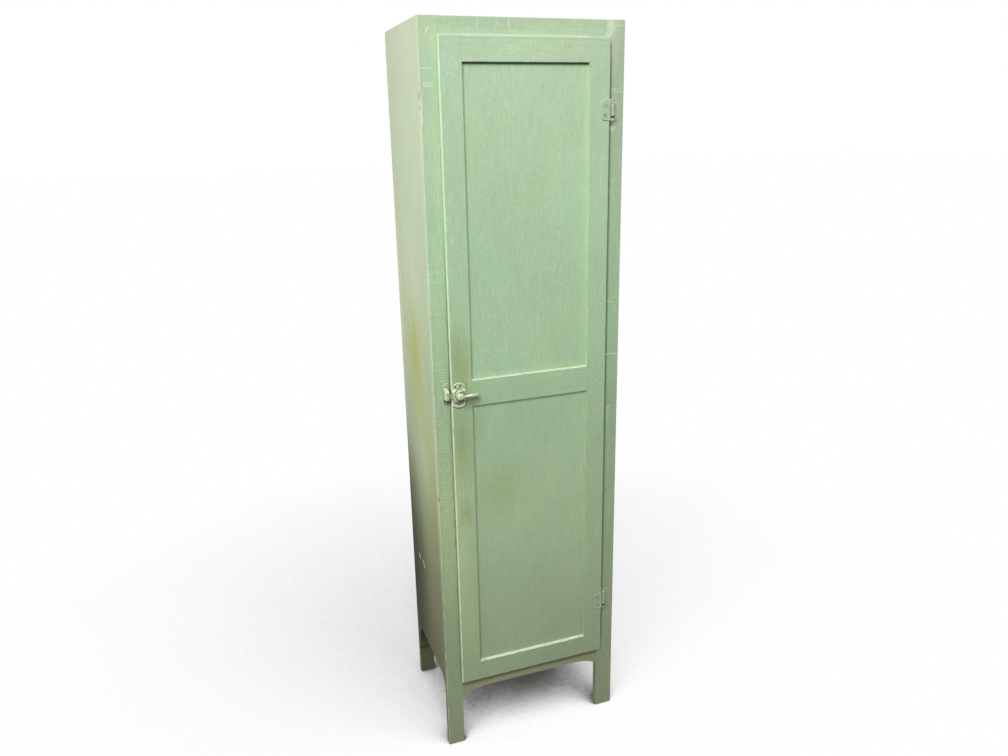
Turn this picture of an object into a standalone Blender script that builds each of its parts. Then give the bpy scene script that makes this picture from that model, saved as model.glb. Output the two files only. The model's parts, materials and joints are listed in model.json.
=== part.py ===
"""Tall one-door painted storage cabinet, built board by board in metres with +Z up.

X runs along the front from left to right, Y from the front to the back. The world origin is on the
floor, under the middle of the whole outline. The door, the latch lever and the latch bolt each hang
from an empty on their own axis of motion.
"""

import math

import bmesh
import bpy
from mathutils import Matrix, Vector

# Carcass boards
CABINET_WIDTH = 0.468
CABINET_DEPTH = 0.327
CABINET_HEIGHT = 1.780
BOARD_THICKNESS = 0.018
FRAME_THICKNESS = 0.018
BACK_PANEL_THICKNESS = 0.006
LEFT_STILE_WIDTH = 0.041
RIGHT_STILE_WIDTH = 0.046
REAR_STILE_WIDTH = 0.040
TOP_RAIL_WIDTH = 0.048
REAR_RAIL_WIDTH = 0.056
SEAT_GAP = 0.0003
EASED_EDGE = 0.0015
TENON_THICKNESS = 0.006
TENON_LENGTH = 0.022
TENON_SHOULDER = 0.008

# Arches cut in the lower edges
FLOOR_LEVEL = 0.206
APRON_ARCH_TOP = 0.157
APRON_ARCH_SPRING = 0.131
APRON_ARCH_ROUND = 0.075
SIDE_ARCH_FRONT_TOP = 0.190
SIDE_ARCH_REAR_TOP = 0.176
SIDE_ARCH_FRONT_SPRING = 0.162
SIDE_ARCH_REAR_SPRING = 0.054
SIDE_ARCH_FRONT_ROUND = 0.030
SIDE_ARCH_REAR_ROUND = 0.046
ARCH_STEPS = 12

# Shelves and the cleats that carry them
SHELF_THICKNESS = 0.016
SHELF_SETBACK = 0.004
SHELF_LEVEL_SHARES = (0.205, 0.405, 0.605, 0.805)
CLEAT_HEIGHT = 0.022
CLEAT_THICKNESS = 0.015
CLEAT_FRONT_CUT = 0.009

# Door
DOOR_LEFT_INSET = 0.038
DOOR_RIGHT_INSET = 0.044
DOOR_BOTTOM = 0.195
DOOR_TOP_DROP = 0.0365
DOOR_THICKNESS = 0.018
DOOR_STANDOFF = 0.0008
DOOR_STILE_WIDTH = 0.048
DOOR_END_RAIL_WIDTH = 0.053
DOOR_MID_RAIL_WIDTH = 0.0625
DOOR_MID_RAIL_SHARE = 0.50194
PANEL_THICKNESS = 0.0045
PANEL_RECESS = 0.010
GROOVE_DEPTH = 0.008
TONGUE_SETBACK = 0.004

# Hinges
HINGE_INSET = 0.152
HINGE_OFFSET = 0.0085
LEAF_THICKNESS = 0.0018
FRAME_LEAF_THICKNESS = 0.0013
LEAF_HEIGHT = 0.045
LOBE_SPACING = 0.0214
LEAF_WAIST = 0.0016
LEAF_FOLD_DEPTH = 0.0040
LEAF_WEB_THICKNESS = 0.0014
BARREL_RADIUS = 0.0040
MIDDLE_KNUCKLE_HEIGHT = 0.028
KNUCKLE_GAP = 0.0005
PIN_RADIUS = 0.0017
PIN_HEAD_RADIUS = 0.0031
PIN_HEAD_HEIGHT = 0.0022
DOOR_SCREW_INSET = 0.0100
FRAME_SCREW_OFFSET = 0.0135

# Screws
SCREW_HEAD_RADIUS = 0.0031
SCREW_HEAD_HEIGHT = 0.0013
SCREW_SHANK_RADIUS = 0.0016
SCREW_LENGTH = 0.0145

# Latch case on the door
LATCH_INSET = 0.0165
LATCH_CASE_WIDTH = 0.032
LATCH_CASE_HEIGHT = 0.030
LATCH_CASE_DEPTH = 0.0095
LATCH_CASE_WALL = 0.0022
LATCH_CASE_DRAFT = 0.0016
LATCH_CASE_CORNER = 0.0045
LATCH_FLANGE_THICKNESS = 0.0028
LATCH_DOME_WIDTH = 0.028
LATCH_DOME_CORNER_RISE = 0.0235
LATCH_DOME_RADIUS = 0.0175
LATCH_SCREW_RISE = 0.0215
BOSS_OUTER_RADIUS = 0.0125
BOSS_INNER_RADIUS = 0.0095
BOSS_STEP = 0.0012

# Lever, cam, bolt and spring
SPINDLE_RADIUS = 0.0032
SPINDLE_TIP_RADIUS = 0.0020
HUB_RADIUS = 0.0078
HUB_DEPTH = 0.0070
HUB_CROWN = 0.0010
HANDLE_REACH = 0.0415
HANDLE_NECK_RADIUS = 0.0034
HANDLE_GRIP_RADIUS = 0.0054
HANDLE_GRIP_LENGTH = 0.0175
CAM_RADIUS = 0.0036
CAM_THICKNESS = 0.0036
CAM_ARM = 0.0090
CAM_TIP_RADIUS = 0.0015
BOLT_THICKNESS = 0.0045
BOLT_BACK_GAP = 0.0006
BOLT_NOSE_HALF_HEIGHT = 0.0050
BOLT_NOSE_REACH = 0.0292
BOLT_NOSE_BEVEL = 0.0030
BOLT_BODY_LEFT = 0.0127
BOLT_BODY_RIGHT = 0.0059
BOLT_BODY_TOP = 0.0112
BOLT_BODY_FLOOR = 0.0072
BOLT_NOTCH_FLOOR = 0.0040
BOLT_NOTCH_LEFT = 0.0113
BOLT_LUG_LEFT = 0.0019
BOLT_LUG_FLOOR = 0.0060
SPRING_LUG_WIDTH = 0.0045
SPRING_LUG_FLOOR = 0.0117
SPRING_LEVEL = 0.0096
SPRING_RADIUS = 0.0015
SPRING_WIRE_RADIUS = 0.0003
SPRING_TURNS = 9
SPRING_POINTS_PER_TURN = 8

# Strike on the face frame
STRIKE_INSET = 0.023
STRIKE_FOOT_WIDTH = 0.0135
STRIKE_FOOT_HEIGHT = 0.052
STRIKE_FOOT_THICKNESS = 0.0022
STRIKE_SCREW_RISE = 0.0205
STRIKE_HOOD_WIDTH = 0.0076
STRIKE_HOOD_BASE_HALF_HEIGHT = 0.0140
STRIKE_HOOD_TIP_HALF_HEIGHT = 0.0095
STRIKE_HOOD_RISE = 0.0020
STRIKE_POCKET_HALF_HEIGHT = 0.0066
STRIKE_POCKET_DEPTH = 0.0140
STRIKE_LIP = 0.0025
STRIKE_WEB = 0.0018
STRIKE_LIP_GAP = 0.0005

# Resolution and construction helpers
ROUND_SEGMENTS = 32
SCREW_SEGMENTS = 16
EASE_STEPS = 3
LOBE_STEPS = 8
SHARP_ANGLE = 35
OVERRUN = 0.002
MERGE_DISTANCE = 0.000001
CROWN_SHARE = 0.55
SHOULDER_SHARE = 0.5
DOME_SHARE = 0.5
GRIP_START_SHARE = 0.75
TANGENT_SHARE = 0.25

# Places worked out from the sizes above
DOOR_FACE = DOOR_STANDOFF + DOOR_THICKNESS
HUB_FOOT = LATCH_CASE_DEPTH + 2 * BOSS_STEP + SEAT_GAP
HANDLE_STANDOFF = HUB_FOOT + HUB_DEPTH / 2
FRONT_REACH = DOOR_FACE + HANDLE_STANDOFF + HANDLE_GRIP_RADIUS
LEFT_X = -CABINET_WIDTH / 2
RIGHT_X = CABINET_WIDTH / 2
FRONT_Y = (FRONT_REACH - CABINET_DEPTH) / 2
BACK_Y = FRONT_Y + CABINET_DEPTH
INNER_FRONT_Y = FRONT_Y + FRAME_THICKNESS + SEAT_GAP
REAR_FRAME_Y = BACK_Y - FRAME_THICKNESS
BACK_PANEL_Y = REAR_FRAME_Y - SEAT_GAP - BACK_PANEL_THICKNESS
INNER_LEFT_X = LEFT_X + BOARD_THICKNESS + SEAT_GAP
INNER_RIGHT_X = RIGHT_X - BOARD_THICKNESS - SEAT_GAP
CEILING_Z = CABINET_HEIGHT - BOARD_THICKNESS
DOOR_LEFT_X = LEFT_X + DOOR_LEFT_INSET
DOOR_RIGHT_X = RIGHT_X - DOOR_RIGHT_INSET
DOOR_WIDTH = DOOR_RIGHT_X - DOOR_LEFT_X
DOOR_TOP_Z = CABINET_HEIGHT - DOOR_TOP_DROP
DOOR_HEIGHT = DOOR_TOP_Z - DOOR_BOTTOM
DOOR_FACE_Y = FRONT_Y - DOOR_FACE
DOOR_MID_Z = DOOR_BOTTOM + DOOR_HEIGHT * DOOR_MID_RAIL_SHARE
HINGE_X = DOOR_RIGHT_X + HINGE_OFFSET
HINGE_Y = DOOR_FACE_Y - SEAT_GAP - LEAF_THICKNESS + BARREL_RADIUS
HINGE_LEVELS = {"upper": DOOR_TOP_Z - HINGE_INSET, "lower": DOOR_BOTTOM + HINGE_INSET}
LATCH_X = DOOR_LEFT_X + LATCH_INSET
STRIKE_X = LEFT_X + STRIKE_INSET

# Finishes: colour, roughness, metallic
PAINT_FRAME = ((0.42, 0.56, 0.38), 0.55, 0.0)
PAINT_DOOR = ((0.44, 0.60, 0.42), 0.50, 0.0)
PAINT_SIDE = ((0.40, 0.43, 0.30), 0.60, 0.0)
BARE_WOOD = ((0.52, 0.38, 0.23), 0.75, 0.0)
PAINTED_IRON = ((0.47, 0.55, 0.42), 0.45, 0.2)
WORN_IRON = ((0.36, 0.36, 0.31), 0.40, 0.7)
SPRING_STEEL = ((0.55, 0.55, 0.56), 0.30, 1.0)


def clear_scene():
    """Remove every object that the file opened with."""
    for old in list(bpy.data.objects):
        bpy.data.objects.remove(old, do_unlink=True)


def make_finish(name, finish):
    """Return a Principled material with the finish's colour, roughness and metallic value."""
    colour, roughness, metallic = finish
    material = bpy.data.materials.new(name)
    material.use_nodes = True
    shader = material.node_tree.nodes["Principled BSDF"]
    shader.inputs["Base Color"].default_value = (*colour, 1.0)
    shader.inputs["Roughness"].default_value = roughness
    shader.inputs["Metallic"].default_value = metallic
    material.diffuse_color = (*colour, 1.0)
    return material


def world_place(thing):
    """Return where an axis empty stands in the world, or the origin where there is none."""
    place = Vector()
    while thing:
        place += thing.location
        thing = thing.parent
    return place


def add_axis(name, place, parent=None):
    """Add an empty that marks an axis of motion."""
    axis = bpy.data.objects.new(name, None)
    bpy.context.collection.objects.link(axis)
    axis.parent = parent
    axis.location = Vector(place) - world_place(parent)
    return axis


def add_part(name, mesh, finish, place, parent=None, smooth=False):
    """Add one named piece, whose mesh is built round the world point place."""
    part = bpy.data.objects.new(name, mesh)
    mesh.name = name
    mesh.materials.clear()
    mesh.materials.append(finish)
    bpy.context.collection.objects.link(part)
    part.parent = parent
    part.location = Vector(place) - world_place(parent)
    if smooth:
        mesh.shade_smooth()
        mesh.set_sharp_from_angle(angle=math.radians(SHARP_ANGLE))
    return part


# Forms that the pieces are made from


def to_mesh(form):
    """Turn a bmesh into a mesh with outward faces."""
    bmesh.ops.recalc_face_normals(form, faces=form.faces)
    mesh = bpy.data.meshes.new("form")
    form.to_mesh(mesh)
    form.free()
    return mesh


def stand(along, a, b, c):
    """Put an outline's pair (a, b) and its place c along an axis in X, Y, Z order."""
    return {"x": (c, a, b), "y": (a, c, b), "z": (a, b, c)}[along]


def loft(outlines, along, levels):
    """Join closed outlines of equal length, one at each level along an axis, into a solid.

    An outline's pairs are (y, z) along "x", (x, z) along "y" and (x, y) along "z".
    """
    form = bmesh.new()
    rings = []
    for outline, level in zip(outlines, levels):
        rings.append([form.verts.new(stand(along, a, b, level)) for a, b in outline])
    form.faces.new(rings[0])
    form.faces.new(rings[-1])
    for near, far in zip(rings, rings[1:]):
        for index in range(len(near)):
            after = (index + 1) % len(near)
            form.faces.new((near[index], near[after], far[after], far[index]))
    return to_mesh(form)


def prism(outline, along, start, end):
    """Extrude a closed outline from start to end along one axis."""
    return loft([outline, outline], along, [start, end])


def rectangle(left, right, low, high):
    """Return a rectangle's four corners."""
    return [(left, low), (right, low), (right, high), (left, high)]


def block(x_span, y_span, z_span):
    """Make a plain box from its spans along X, Y and Z."""
    return prism(rectangle(*x_span, *y_span), "z", *z_span)


def arc(centre, radii, start, end, steps):
    """Return points along an elliptical arc between two angles in degrees."""
    points = []
    for step in range(steps + 1):
        angle = math.radians(start + (end - start) * step / steps)
        points.append((centre[0] + radii[0] * math.cos(angle), centre[1] + radii[1] * math.sin(angle)))
    return points


def rounded_rectangle(half_width, half_height, corner, steps=4):
    """Return the outline of a rectangle round the origin with round corners."""
    across = half_width - corner
    up = half_height - corner
    points = []
    for side, level, start in ((across, up, 0), (-across, up, 90), (-across, -up, 180), (across, -up, 270)):
        points += arc((side, level), (corner, corner), start, start + 90, steps)
    return points


def turned(profile, along, segments):
    """Revolve a profile of (radius, along) pairs that starts and ends on the axis."""
    form = bmesh.new()
    points = [form.verts.new((radius, 0, level)) for radius, level in profile]
    edges = [form.edges.new(pair) for pair in zip(points, points[1:])]
    bmesh.ops.spin(
        form, geom=points + edges, cent=(0, 0, 0), axis=(0, 0, 1),
        angle=math.tau, steps=segments, use_merge=True,
    )
    bmesh.ops.remove_doubles(form, verts=form.verts, dist=MERGE_DISTANCE)
    if along == "x":
        form.transform(Matrix.Rotation(math.pi / 2, 4, "Y"))
    if along == "y":
        form.transform(Matrix.Rotation(-math.pi / 2, 4, "X"))
    return to_mesh(form)


def rod(radius, start, end, along, segments):
    """Make a round rod along one axis, from start to end."""
    return turned([(0, start), (radius, start), (radius, end), (0, end)], along, segments)


def moved(mesh, x=0, y=0, z=0):
    """Shift a mesh's points and return it."""
    mesh.transform(Matrix.Translation((x, y, z)))
    return mesh


def brought(meshes, place):
    """Bring meshes from the cabinet's places to a piece's own, whose origin is at the given place."""
    x, y, z = place
    return [moved(mesh, x=-x, y=-y, z=-z) for mesh in meshes]


def combined(base, tools, operation):
    """Apply one exact Boolean for each tool mesh to the base mesh, and return the result."""
    for tool in tools:
        target = bpy.data.objects.new("target", base)
        cutter = bpy.data.objects.new("cutter", tool)
        for thing in (target, cutter):
            bpy.context.collection.objects.link(thing)
        modifier = target.modifiers.new("combine", "BOOLEAN")
        modifier.operation = operation
        modifier.solver = "EXACT"
        modifier.object = cutter
        graph = bpy.context.evaluated_depsgraph_get()
        base = bpy.data.meshes.new_from_object(target.evaluated_get(graph))
        for thing in (target, cutter):
            bpy.data.objects.remove(thing, do_unlink=True)
    return base


def joined(base, *tools):
    """Unite meshes into one closed body."""
    return combined(base, tools, "UNION")


def cut(base, *tools):
    """Cut meshes out of the base."""
    return combined(base, tools, "DIFFERENCE")


# Carcass


def front_arrises(half, rounded):
    """Return the front of a board's section from left to right, round on the given sides.

    rounded holds -1 where the left arris is round and 1 where the right one is. The arris
    where another board lies flush stays sharp.
    """
    ease = (EASED_EDGE, EASED_EDGE)
    left, right = [(-half, 0)], [(half, 0)]
    if -1 in rounded:
        left = arc((-half + EASED_EDGE, EASED_EDGE), ease, 180, 270, EASE_STEPS)
    if 1 in rounded:
        right = arc((half - EASED_EDGE, EASED_EDGE), ease, 270, 360, EASE_STEPS)
    return left + right


def eased_section(width, depth, rounded):
    """Return a board's section across (width, depth), with its front arrises round as given."""
    half = width / 2
    return front_arrises(half, rounded) + [(half, depth), (-half, depth)]


def tenon(start, end, low, high, y_middle):
    """Make the tenon, or its mortise, that lies between two X values and two heights."""
    half = TENON_THICKNESS / 2
    return block((start, end), (y_middle - half, y_middle + half), (low, high))


def mortise(start, end, low, high, y_middle):
    """Make the cutter of a mortise, larger than its tenon by the seat gap."""
    half = TENON_THICKNESS / 2 + SEAT_GAP
    return block((start, end), (y_middle - half, y_middle + half), (low - SEAT_GAP, high + SEAT_GAP))


def frame_stile(width, rail_spans, inner_side, front_faces_out):
    """Make an upright of the front or rear frame with one mortise for each rail.

    The stile stands on the floor, centred on X = 0, and its depth starts at Y = 0. rail_spans
    holds each tenon's lowest and highest point, and inner_side is 1 where the rails lie at +X.
    Only the outer arris is round.
    """
    section = eased_section(width, FRAME_THICKNESS, (-inner_side,))
    if not front_faces_out:
        section = [(x, FRAME_THICKNESS - y) for x, y in section]
    mesh = prism(section, "z", 0, CABINET_HEIGHT)
    floor = inner_side * (width / 2 - TENON_LENGTH - SEAT_GAP)
    mouth = inner_side * (width / 2 + OVERRUN)
    cutters = []
    for low, high in rail_spans:
        cutters.append(mortise(min(floor, mouth), max(floor, mouth), low, high, FRAME_THICKNESS / 2))
    return cut(mesh, *cutters)


def frame_rail(outline, half_length, tenon_span):
    """Make a rail of the front or rear frame from its front outline, with a tenon at each end."""
    mesh = prism(outline, "y", 0, FRAME_THICKNESS)
    reach = half_length - SEAT_GAP + TENON_LENGTH
    tongue = tenon(-reach, reach, *tenon_span, FRAME_THICKNESS / 2)
    return joined(mesh, tongue)


def tenon_span(low, high):
    """Return a tenon's heights inside a rail's."""
    return (low + TENON_SHOULDER, high - TENON_SHOULDER)


def apron_outline(half_length):
    """Return the apron's front outline, flat above and arched below with hollow-rounded ends."""
    half = half_length - SEAT_GAP
    radii = (APRON_ARCH_ROUND, APRON_ARCH_TOP - APRON_ARCH_SPRING)
    right = arc((half - APRON_ARCH_ROUND, APRON_ARCH_SPRING), radii, 0, 90, ARCH_STEPS)
    left = arc((APRON_ARCH_ROUND - half, APRON_ARCH_SPRING), radii, 90, 180, ARCH_STEPS)
    return [(-half, FLOOR_LEVEL), (half, FLOOR_LEVEL)] + right + left


def side_outline():
    """Return a side panel's outline as (y, z), with the arch between its front and rear foot."""
    front = INNER_FRONT_Y
    rear = REAR_FRAME_Y - SEAT_GAP
    front_radii = (SIDE_ARCH_FRONT_ROUND, SIDE_ARCH_FRONT_TOP - SIDE_ARCH_FRONT_SPRING)
    rear_radii = (SIDE_ARCH_REAR_ROUND, SIDE_ARCH_REAR_TOP - SIDE_ARCH_REAR_SPRING)
    front_centre = (front + SIDE_ARCH_FRONT_ROUND, SIDE_ARCH_FRONT_SPRING)
    rear_centre = (rear - SIDE_ARCH_REAR_ROUND, SIDE_ARCH_REAR_SPRING)
    arch = arc(front_centre, front_radii, 180, 90, ARCH_STEPS)
    arch += arc(rear_centre, rear_radii, 90, 0, ARCH_STEPS)
    return [(front, CABINET_HEIGHT)] + arch + [(rear, CABINET_HEIGHT)]


def build_front_frame(finish, hinge_holes, strike_holes):
    """Build the two front stiles that run down as legs, the top rail and the arched apron."""
    apron_span = tenon_span(APRON_ARCH_TOP, FLOOR_LEVEL)
    top_span = tenon_span(CABINET_HEIGHT - TOP_RAIL_WIDTH, CABINET_HEIGHT)
    spans = [apron_span, top_span]
    left_x = LEFT_X + LEFT_STILE_WIDTH / 2
    right_x = RIGHT_X - RIGHT_STILE_WIDTH / 2
    left = frame_stile(LEFT_STILE_WIDTH, spans, 1, True)
    right = frame_stile(RIGHT_STILE_WIDTH, spans, -1, True)
    left_place = (left_x, FRONT_Y, 0)
    right_place = (right_x, FRONT_Y, 0)
    add_part("front_left_stile", cut(left, *brought(strike_holes, left_place)), finish, left_place)
    add_part("front_right_stile", cut(right, *brought(hinge_holes, right_place)), finish, right_place)
    opening = CABINET_WIDTH - LEFT_STILE_WIDTH - RIGHT_STILE_WIDTH
    middle = LEFT_X + LEFT_STILE_WIDTH + opening / 2
    half = opening / 2 - SEAT_GAP
    top = rectangle(-half, half, CABINET_HEIGHT - TOP_RAIL_WIDTH, CABINET_HEIGHT)
    add_part("top_rail", frame_rail(top, opening / 2, top_span), finish, (middle, FRONT_Y, 0))
    apron = frame_rail(apron_outline(opening / 2), opening / 2, apron_span)
    add_part("apron", apron, finish, (middle, FRONT_Y, 0))


def build_rear_frame(finish):
    """Build the two rear legs, the rails between them and the thin panel that closes the back."""
    bottom_low = FLOOR_LEVEL - REAR_RAIL_WIDTH
    bottom_span = tenon_span(bottom_low, FLOOR_LEVEL)
    top_low = CABINET_HEIGHT - REAR_RAIL_WIDTH
    top_span = tenon_span(top_low, CABINET_HEIGHT)
    for name, side in (("rear_left_leg", -1), ("rear_right_leg", 1)):
        leg = frame_stile(REAR_STILE_WIDTH, [bottom_span, top_span], -side, False)
        place = side * (CABINET_WIDTH - REAR_STILE_WIDTH) / 2
        add_part(name, leg, finish, (place, REAR_FRAME_Y, 0))
    opening = CABINET_WIDTH - 2 * REAR_STILE_WIDTH
    half = opening / 2 - SEAT_GAP
    top = rectangle(-half, half, top_low, CABINET_HEIGHT)
    bottom = rectangle(-half, half, bottom_low, FLOOR_LEVEL)
    add_part("rear_top_rail", frame_rail(top, opening / 2, top_span), finish, (0, REAR_FRAME_Y, 0))
    add_part("rear_bottom_rail", frame_rail(bottom, opening / 2, bottom_span), finish, (0, REAR_FRAME_Y, 0))
    low = FLOOR_LEVEL - BOARD_THICKNESS
    across = (INNER_LEFT_X, INNER_RIGHT_X)
    back = block(across, (0, BACK_PANEL_THICKNESS), (low, CEILING_Z - SEAT_GAP))
    add_part("back_panel", back, finish, (0, BACK_PANEL_Y, 0))


def build_sides(finish):
    """Build the two side panels, each arched at the floor."""
    for name, x in (("left_side_panel", LEFT_X), ("right_side_panel", RIGHT_X - BOARD_THICKNESS)):
        add_part(name, prism(side_outline(), "x", 0, BOARD_THICKNESS), finish, (x, 0, 0))


def build_decks(paint, wood):
    """Build the top, the bottom and the shelves, with a cleat under each end of the lower ones."""
    across = (INNER_LEFT_X, INNER_RIGHT_X)
    rear = BACK_PANEL_Y - SEAT_GAP
    top = block(across, (0, REAR_FRAME_Y - SEAT_GAP - INNER_FRONT_Y), (0, BOARD_THICKNESS))
    add_part("top_panel", top, paint, (0, INNER_FRONT_Y, CEILING_Z))
    bottom = block(across, (0, rear - INNER_FRONT_Y), (0, BOARD_THICKNESS))
    add_part("bottom_panel", bottom, wood, (0, INNER_FRONT_Y, FLOOR_LEVEL - BOARD_THICKNESS))
    add_cleats("bottom", FLOOR_LEVEL - BOARD_THICKNESS, wood)
    front = INNER_FRONT_Y + SHELF_SETBACK
    for number, share in enumerate(SHELF_LEVEL_SHARES, start=1):
        level = FLOOR_LEVEL + share * (CEILING_Z - FLOOR_LEVEL)
        shelf = block(across, (0, rear - front), (0, SHELF_THICKNESS))
        add_part(f"shelf_{number}", shelf, wood, (0, front, level))
        add_cleats(f"shelf_{number}", level, wood)


def add_cleats(name, level, wood):
    """Add the left and right cleat that carry a board whose underside is at the given height."""
    front = INNER_FRONT_Y + SHELF_SETBACK
    depth = BACK_PANEL_Y - SEAT_GAP - front
    top = -SEAT_GAP
    low = top - CLEAT_HEIGHT
    outline = [(0, top), (0, low + CLEAT_FRONT_CUT), (CLEAT_FRONT_CUT, low), (depth, low), (depth, top)]
    for side, x in (("left", INNER_LEFT_X), ("right", INNER_RIGHT_X - CLEAT_THICKNESS)):
        cleat = prism(outline, "x", 0, CLEAT_THICKNESS)
        add_part(f"{name}_{side}_cleat", cleat, wood, (x, front, level))


# Door


def grooved_section(width, grooves, rounded):
    """Return a door member's section as (across, depth), grooved for the panels on the given sides."""
    half = width / 2
    front = PANEL_RECESS - SEAT_GAP
    back = PANEL_RECESS + PANEL_THICKNESS + SEAT_GAP
    outline = front_arrises(half, rounded)
    groove = [(half, front), (half - GROOVE_DEPTH, front), (half - GROOVE_DEPTH, back), (half, back)]
    if 1 in grooves:
        outline += groove
    outline += [(half, DOOR_THICKNESS), (-half, DOOR_THICKNESS)]
    if -1 in grooves:
        outline += [(-across, depth) for across, depth in reversed(groove)]
    return outline


def door_rail(width, half_length, grooves):
    """Make a door rail along X, centred on its height, with the tongues that enter the stiles."""
    section = [(depth, across) for across, depth in grooved_section(width, grooves, (-1, 1))]
    rail = prism(section, "x", -half_length, half_length)
    low = -width / 2 + (GROOVE_DEPTH if -1 in grooves else TONGUE_SETBACK)
    high = width / 2 - (GROOVE_DEPTH if 1 in grooves else TONGUE_SETBACK)
    reach = half_length + GROOVE_DEPTH - SEAT_GAP
    depth = (PANEL_RECESS, PANEL_RECESS + PANEL_THICKNESS)
    return joined(rail, block((-reach, reach), depth, (low, high)))


def build_door(finish, axis, hinge_holes, latch_holes):
    """Build the door's two stiles, three rails and two flat panels."""
    lock_x = DOOR_LEFT_X + DOOR_STILE_WIDTH / 2
    hinge_x = DOOR_RIGHT_X - DOOR_STILE_WIDTH / 2
    for name, x, side, holes in (
        ("door_lock_stile", lock_x, 1, latch_holes),
        ("door_hinge_stile", hinge_x, -1, hinge_holes),
    ):
        section = grooved_section(DOOR_STILE_WIDTH, (side,), (-side,))
        stile = prism(section, "z", 0, DOOR_HEIGHT)
        place = (x, DOOR_FACE_Y, DOOR_BOTTOM)
        add_part(name, cut(stile, *brought(holes, place)), finish, place, axis)
    middle = (DOOR_LEFT_X + DOOR_RIGHT_X) / 2
    half_length = DOOR_WIDTH / 2 - DOOR_STILE_WIDTH - SEAT_GAP
    end_half = DOOR_END_RAIL_WIDTH / 2
    for name, level, width, grooves in (
        ("door_top_rail", DOOR_TOP_Z - end_half, DOOR_END_RAIL_WIDTH, (-1,)),
        ("door_mid_rail", DOOR_MID_Z, DOOR_MID_RAIL_WIDTH, (-1, 1)),
        ("door_bottom_rail", DOOR_BOTTOM + end_half, DOOR_END_RAIL_WIDTH, (1,)),
    ):
        rail = door_rail(width, half_length, grooves)
        add_part(name, rail, finish, (middle, DOOR_FACE_Y, level), axis)
    half_width = DOOR_WIDTH / 2 - DOOR_STILE_WIDTH + GROOVE_DEPTH - SEAT_GAP
    mid_half = DOOR_MID_RAIL_WIDTH / 2
    edge = GROOVE_DEPTH - SEAT_GAP
    upper = (DOOR_MID_Z + mid_half - edge, DOOR_TOP_Z - DOOR_END_RAIL_WIDTH + edge)
    lower = (DOOR_BOTTOM + DOOR_END_RAIL_WIDTH - edge, DOOR_MID_Z - mid_half + edge)
    for name, (low, high) in (("door_upper_panel", upper), ("door_lower_panel", lower)):
        panel = block((-half_width, half_width), (0, PANEL_THICKNESS), (0, high - low))
        add_part(name, panel, finish, (middle, DOOR_FACE_Y + PANEL_RECESS, low), axis)


# Screws


def screw_solid():
    """Make a round-headed screw that enters a piece along +Y, with its head's seat at the origin."""
    crown = SCREW_HEAD_RADIUS * CROWN_SHARE
    profile = [
        (0, -SCREW_HEAD_HEIGHT),
        (crown, -SCREW_HEAD_HEIGHT),
        (SCREW_HEAD_RADIUS, -SEAT_GAP),
        (SCREW_SHANK_RADIUS, -SEAT_GAP),
        (SCREW_SHANK_RADIUS, SCREW_LENGTH - SCREW_SHANK_RADIUS),
        (0, SCREW_LENGTH),
    ]
    return turned(profile, "y", SCREW_SEGMENTS)


def screw_hole(place):
    """Make the cutter of a screw's clearance hole."""
    radius = SCREW_SHANK_RADIUS + SEAT_GAP
    return moved(rod(radius, -OVERRUN, SCREW_LENGTH + SEAT_GAP, "y", SCREW_SEGMENTS), *place)


def hinge_screw_places(leaf):
    """Return the seats of the door-leaf or frame-leaf screws of both hinges."""
    x = HINGE_X + FRAME_SCREW_OFFSET
    y = FRONT_Y - SEAT_GAP - FRAME_LEAF_THICKNESS
    if leaf == "door":
        x = DOOR_RIGHT_X - DOOR_SCREW_INSET
        y = DOOR_FACE_Y - SEAT_GAP - LEAF_THICKNESS
    rises = (-LOBE_SPACING / 2, LOBE_SPACING / 2)
    return [(x, y, level + rise) for level in HINGE_LEVELS.values() for rise in rises]


def latch_screw_places():
    """Return the seats of the two screws that hold the latch case."""
    y = DOOR_FACE_Y - SEAT_GAP - LATCH_FLANGE_THICKNESS
    return [(LATCH_X, y, DOOR_MID_Z + side * LATCH_SCREW_RISE) for side in (-1, 1)]


def strike_screw_places():
    """Return the seats of the two screws that hold the strike."""
    x = STRIKE_X + STRIKE_FOOT_WIDTH / 2
    y = FRONT_Y - SEAT_GAP - STRIKE_FOOT_THICKNESS
    return [(x, y, DOOR_MID_Z + side * STRIKE_SCREW_RISE) for side in (-1, 1)]


def screw_holes(places):
    """Return a cutter for each screw."""
    return [screw_hole(place) for place in places]


def build_screws(finish, door_axis):
    """Build the screws of the hinges, the latch and the strike."""
    for name, places, parent in (
        ("hinge_door_screw", hinge_screw_places("door"), door_axis),
        ("hinge_frame_screw", hinge_screw_places("frame"), None),
        ("latch_screw", latch_screw_places(), door_axis),
        ("strike_screw", strike_screw_places(), None),
    ):
        for number, place in enumerate(places, start=1):
            add_part(f"{name}_{number}", screw_solid(), finish, place, parent, smooth=True)


# Hinges


def lobed_leaf(screw_x, near_x, side):
    """Return a leaf's outline as (x, z): straight at the barrel, two round lobes at the free edge.

    side is -1 for the leaf that lies to the left of the barrel and 1 for the right one. The
    outline starts and ends on the straight edge at near_x.
    """
    half = LEAF_HEIGHT / 2
    radius = half - LOBE_SPACING / 2
    radii = (radius, radius)
    turn = math.degrees(math.acos(1 - LEAF_WAIST / radius))
    low = arc((0, -LOBE_SPACING / 2), radii, 270, 360 + turn, LOBE_STEPS)
    high = [(x, -z) for x, z in reversed(low)]
    return [(near_x, -half)] + [(screw_x + side * x, z) for x, z in low + high] + [(near_x, half)]


def knuckle(low, high):
    """Make a hinge knuckle round the Z axis, bored for the pin once it is united with its leaf."""
    return rod(BARREL_RADIUS, low, high, "z", ROUND_SEGMENTS)


def pin_bore():
    """Make the cutter of the pin's bore."""
    reach = LEAF_HEIGHT / 2 + OVERRUN
    return rod(PIN_RADIUS + SEAT_GAP, -reach, reach, "z", ROUND_SEGMENTS)


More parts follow.
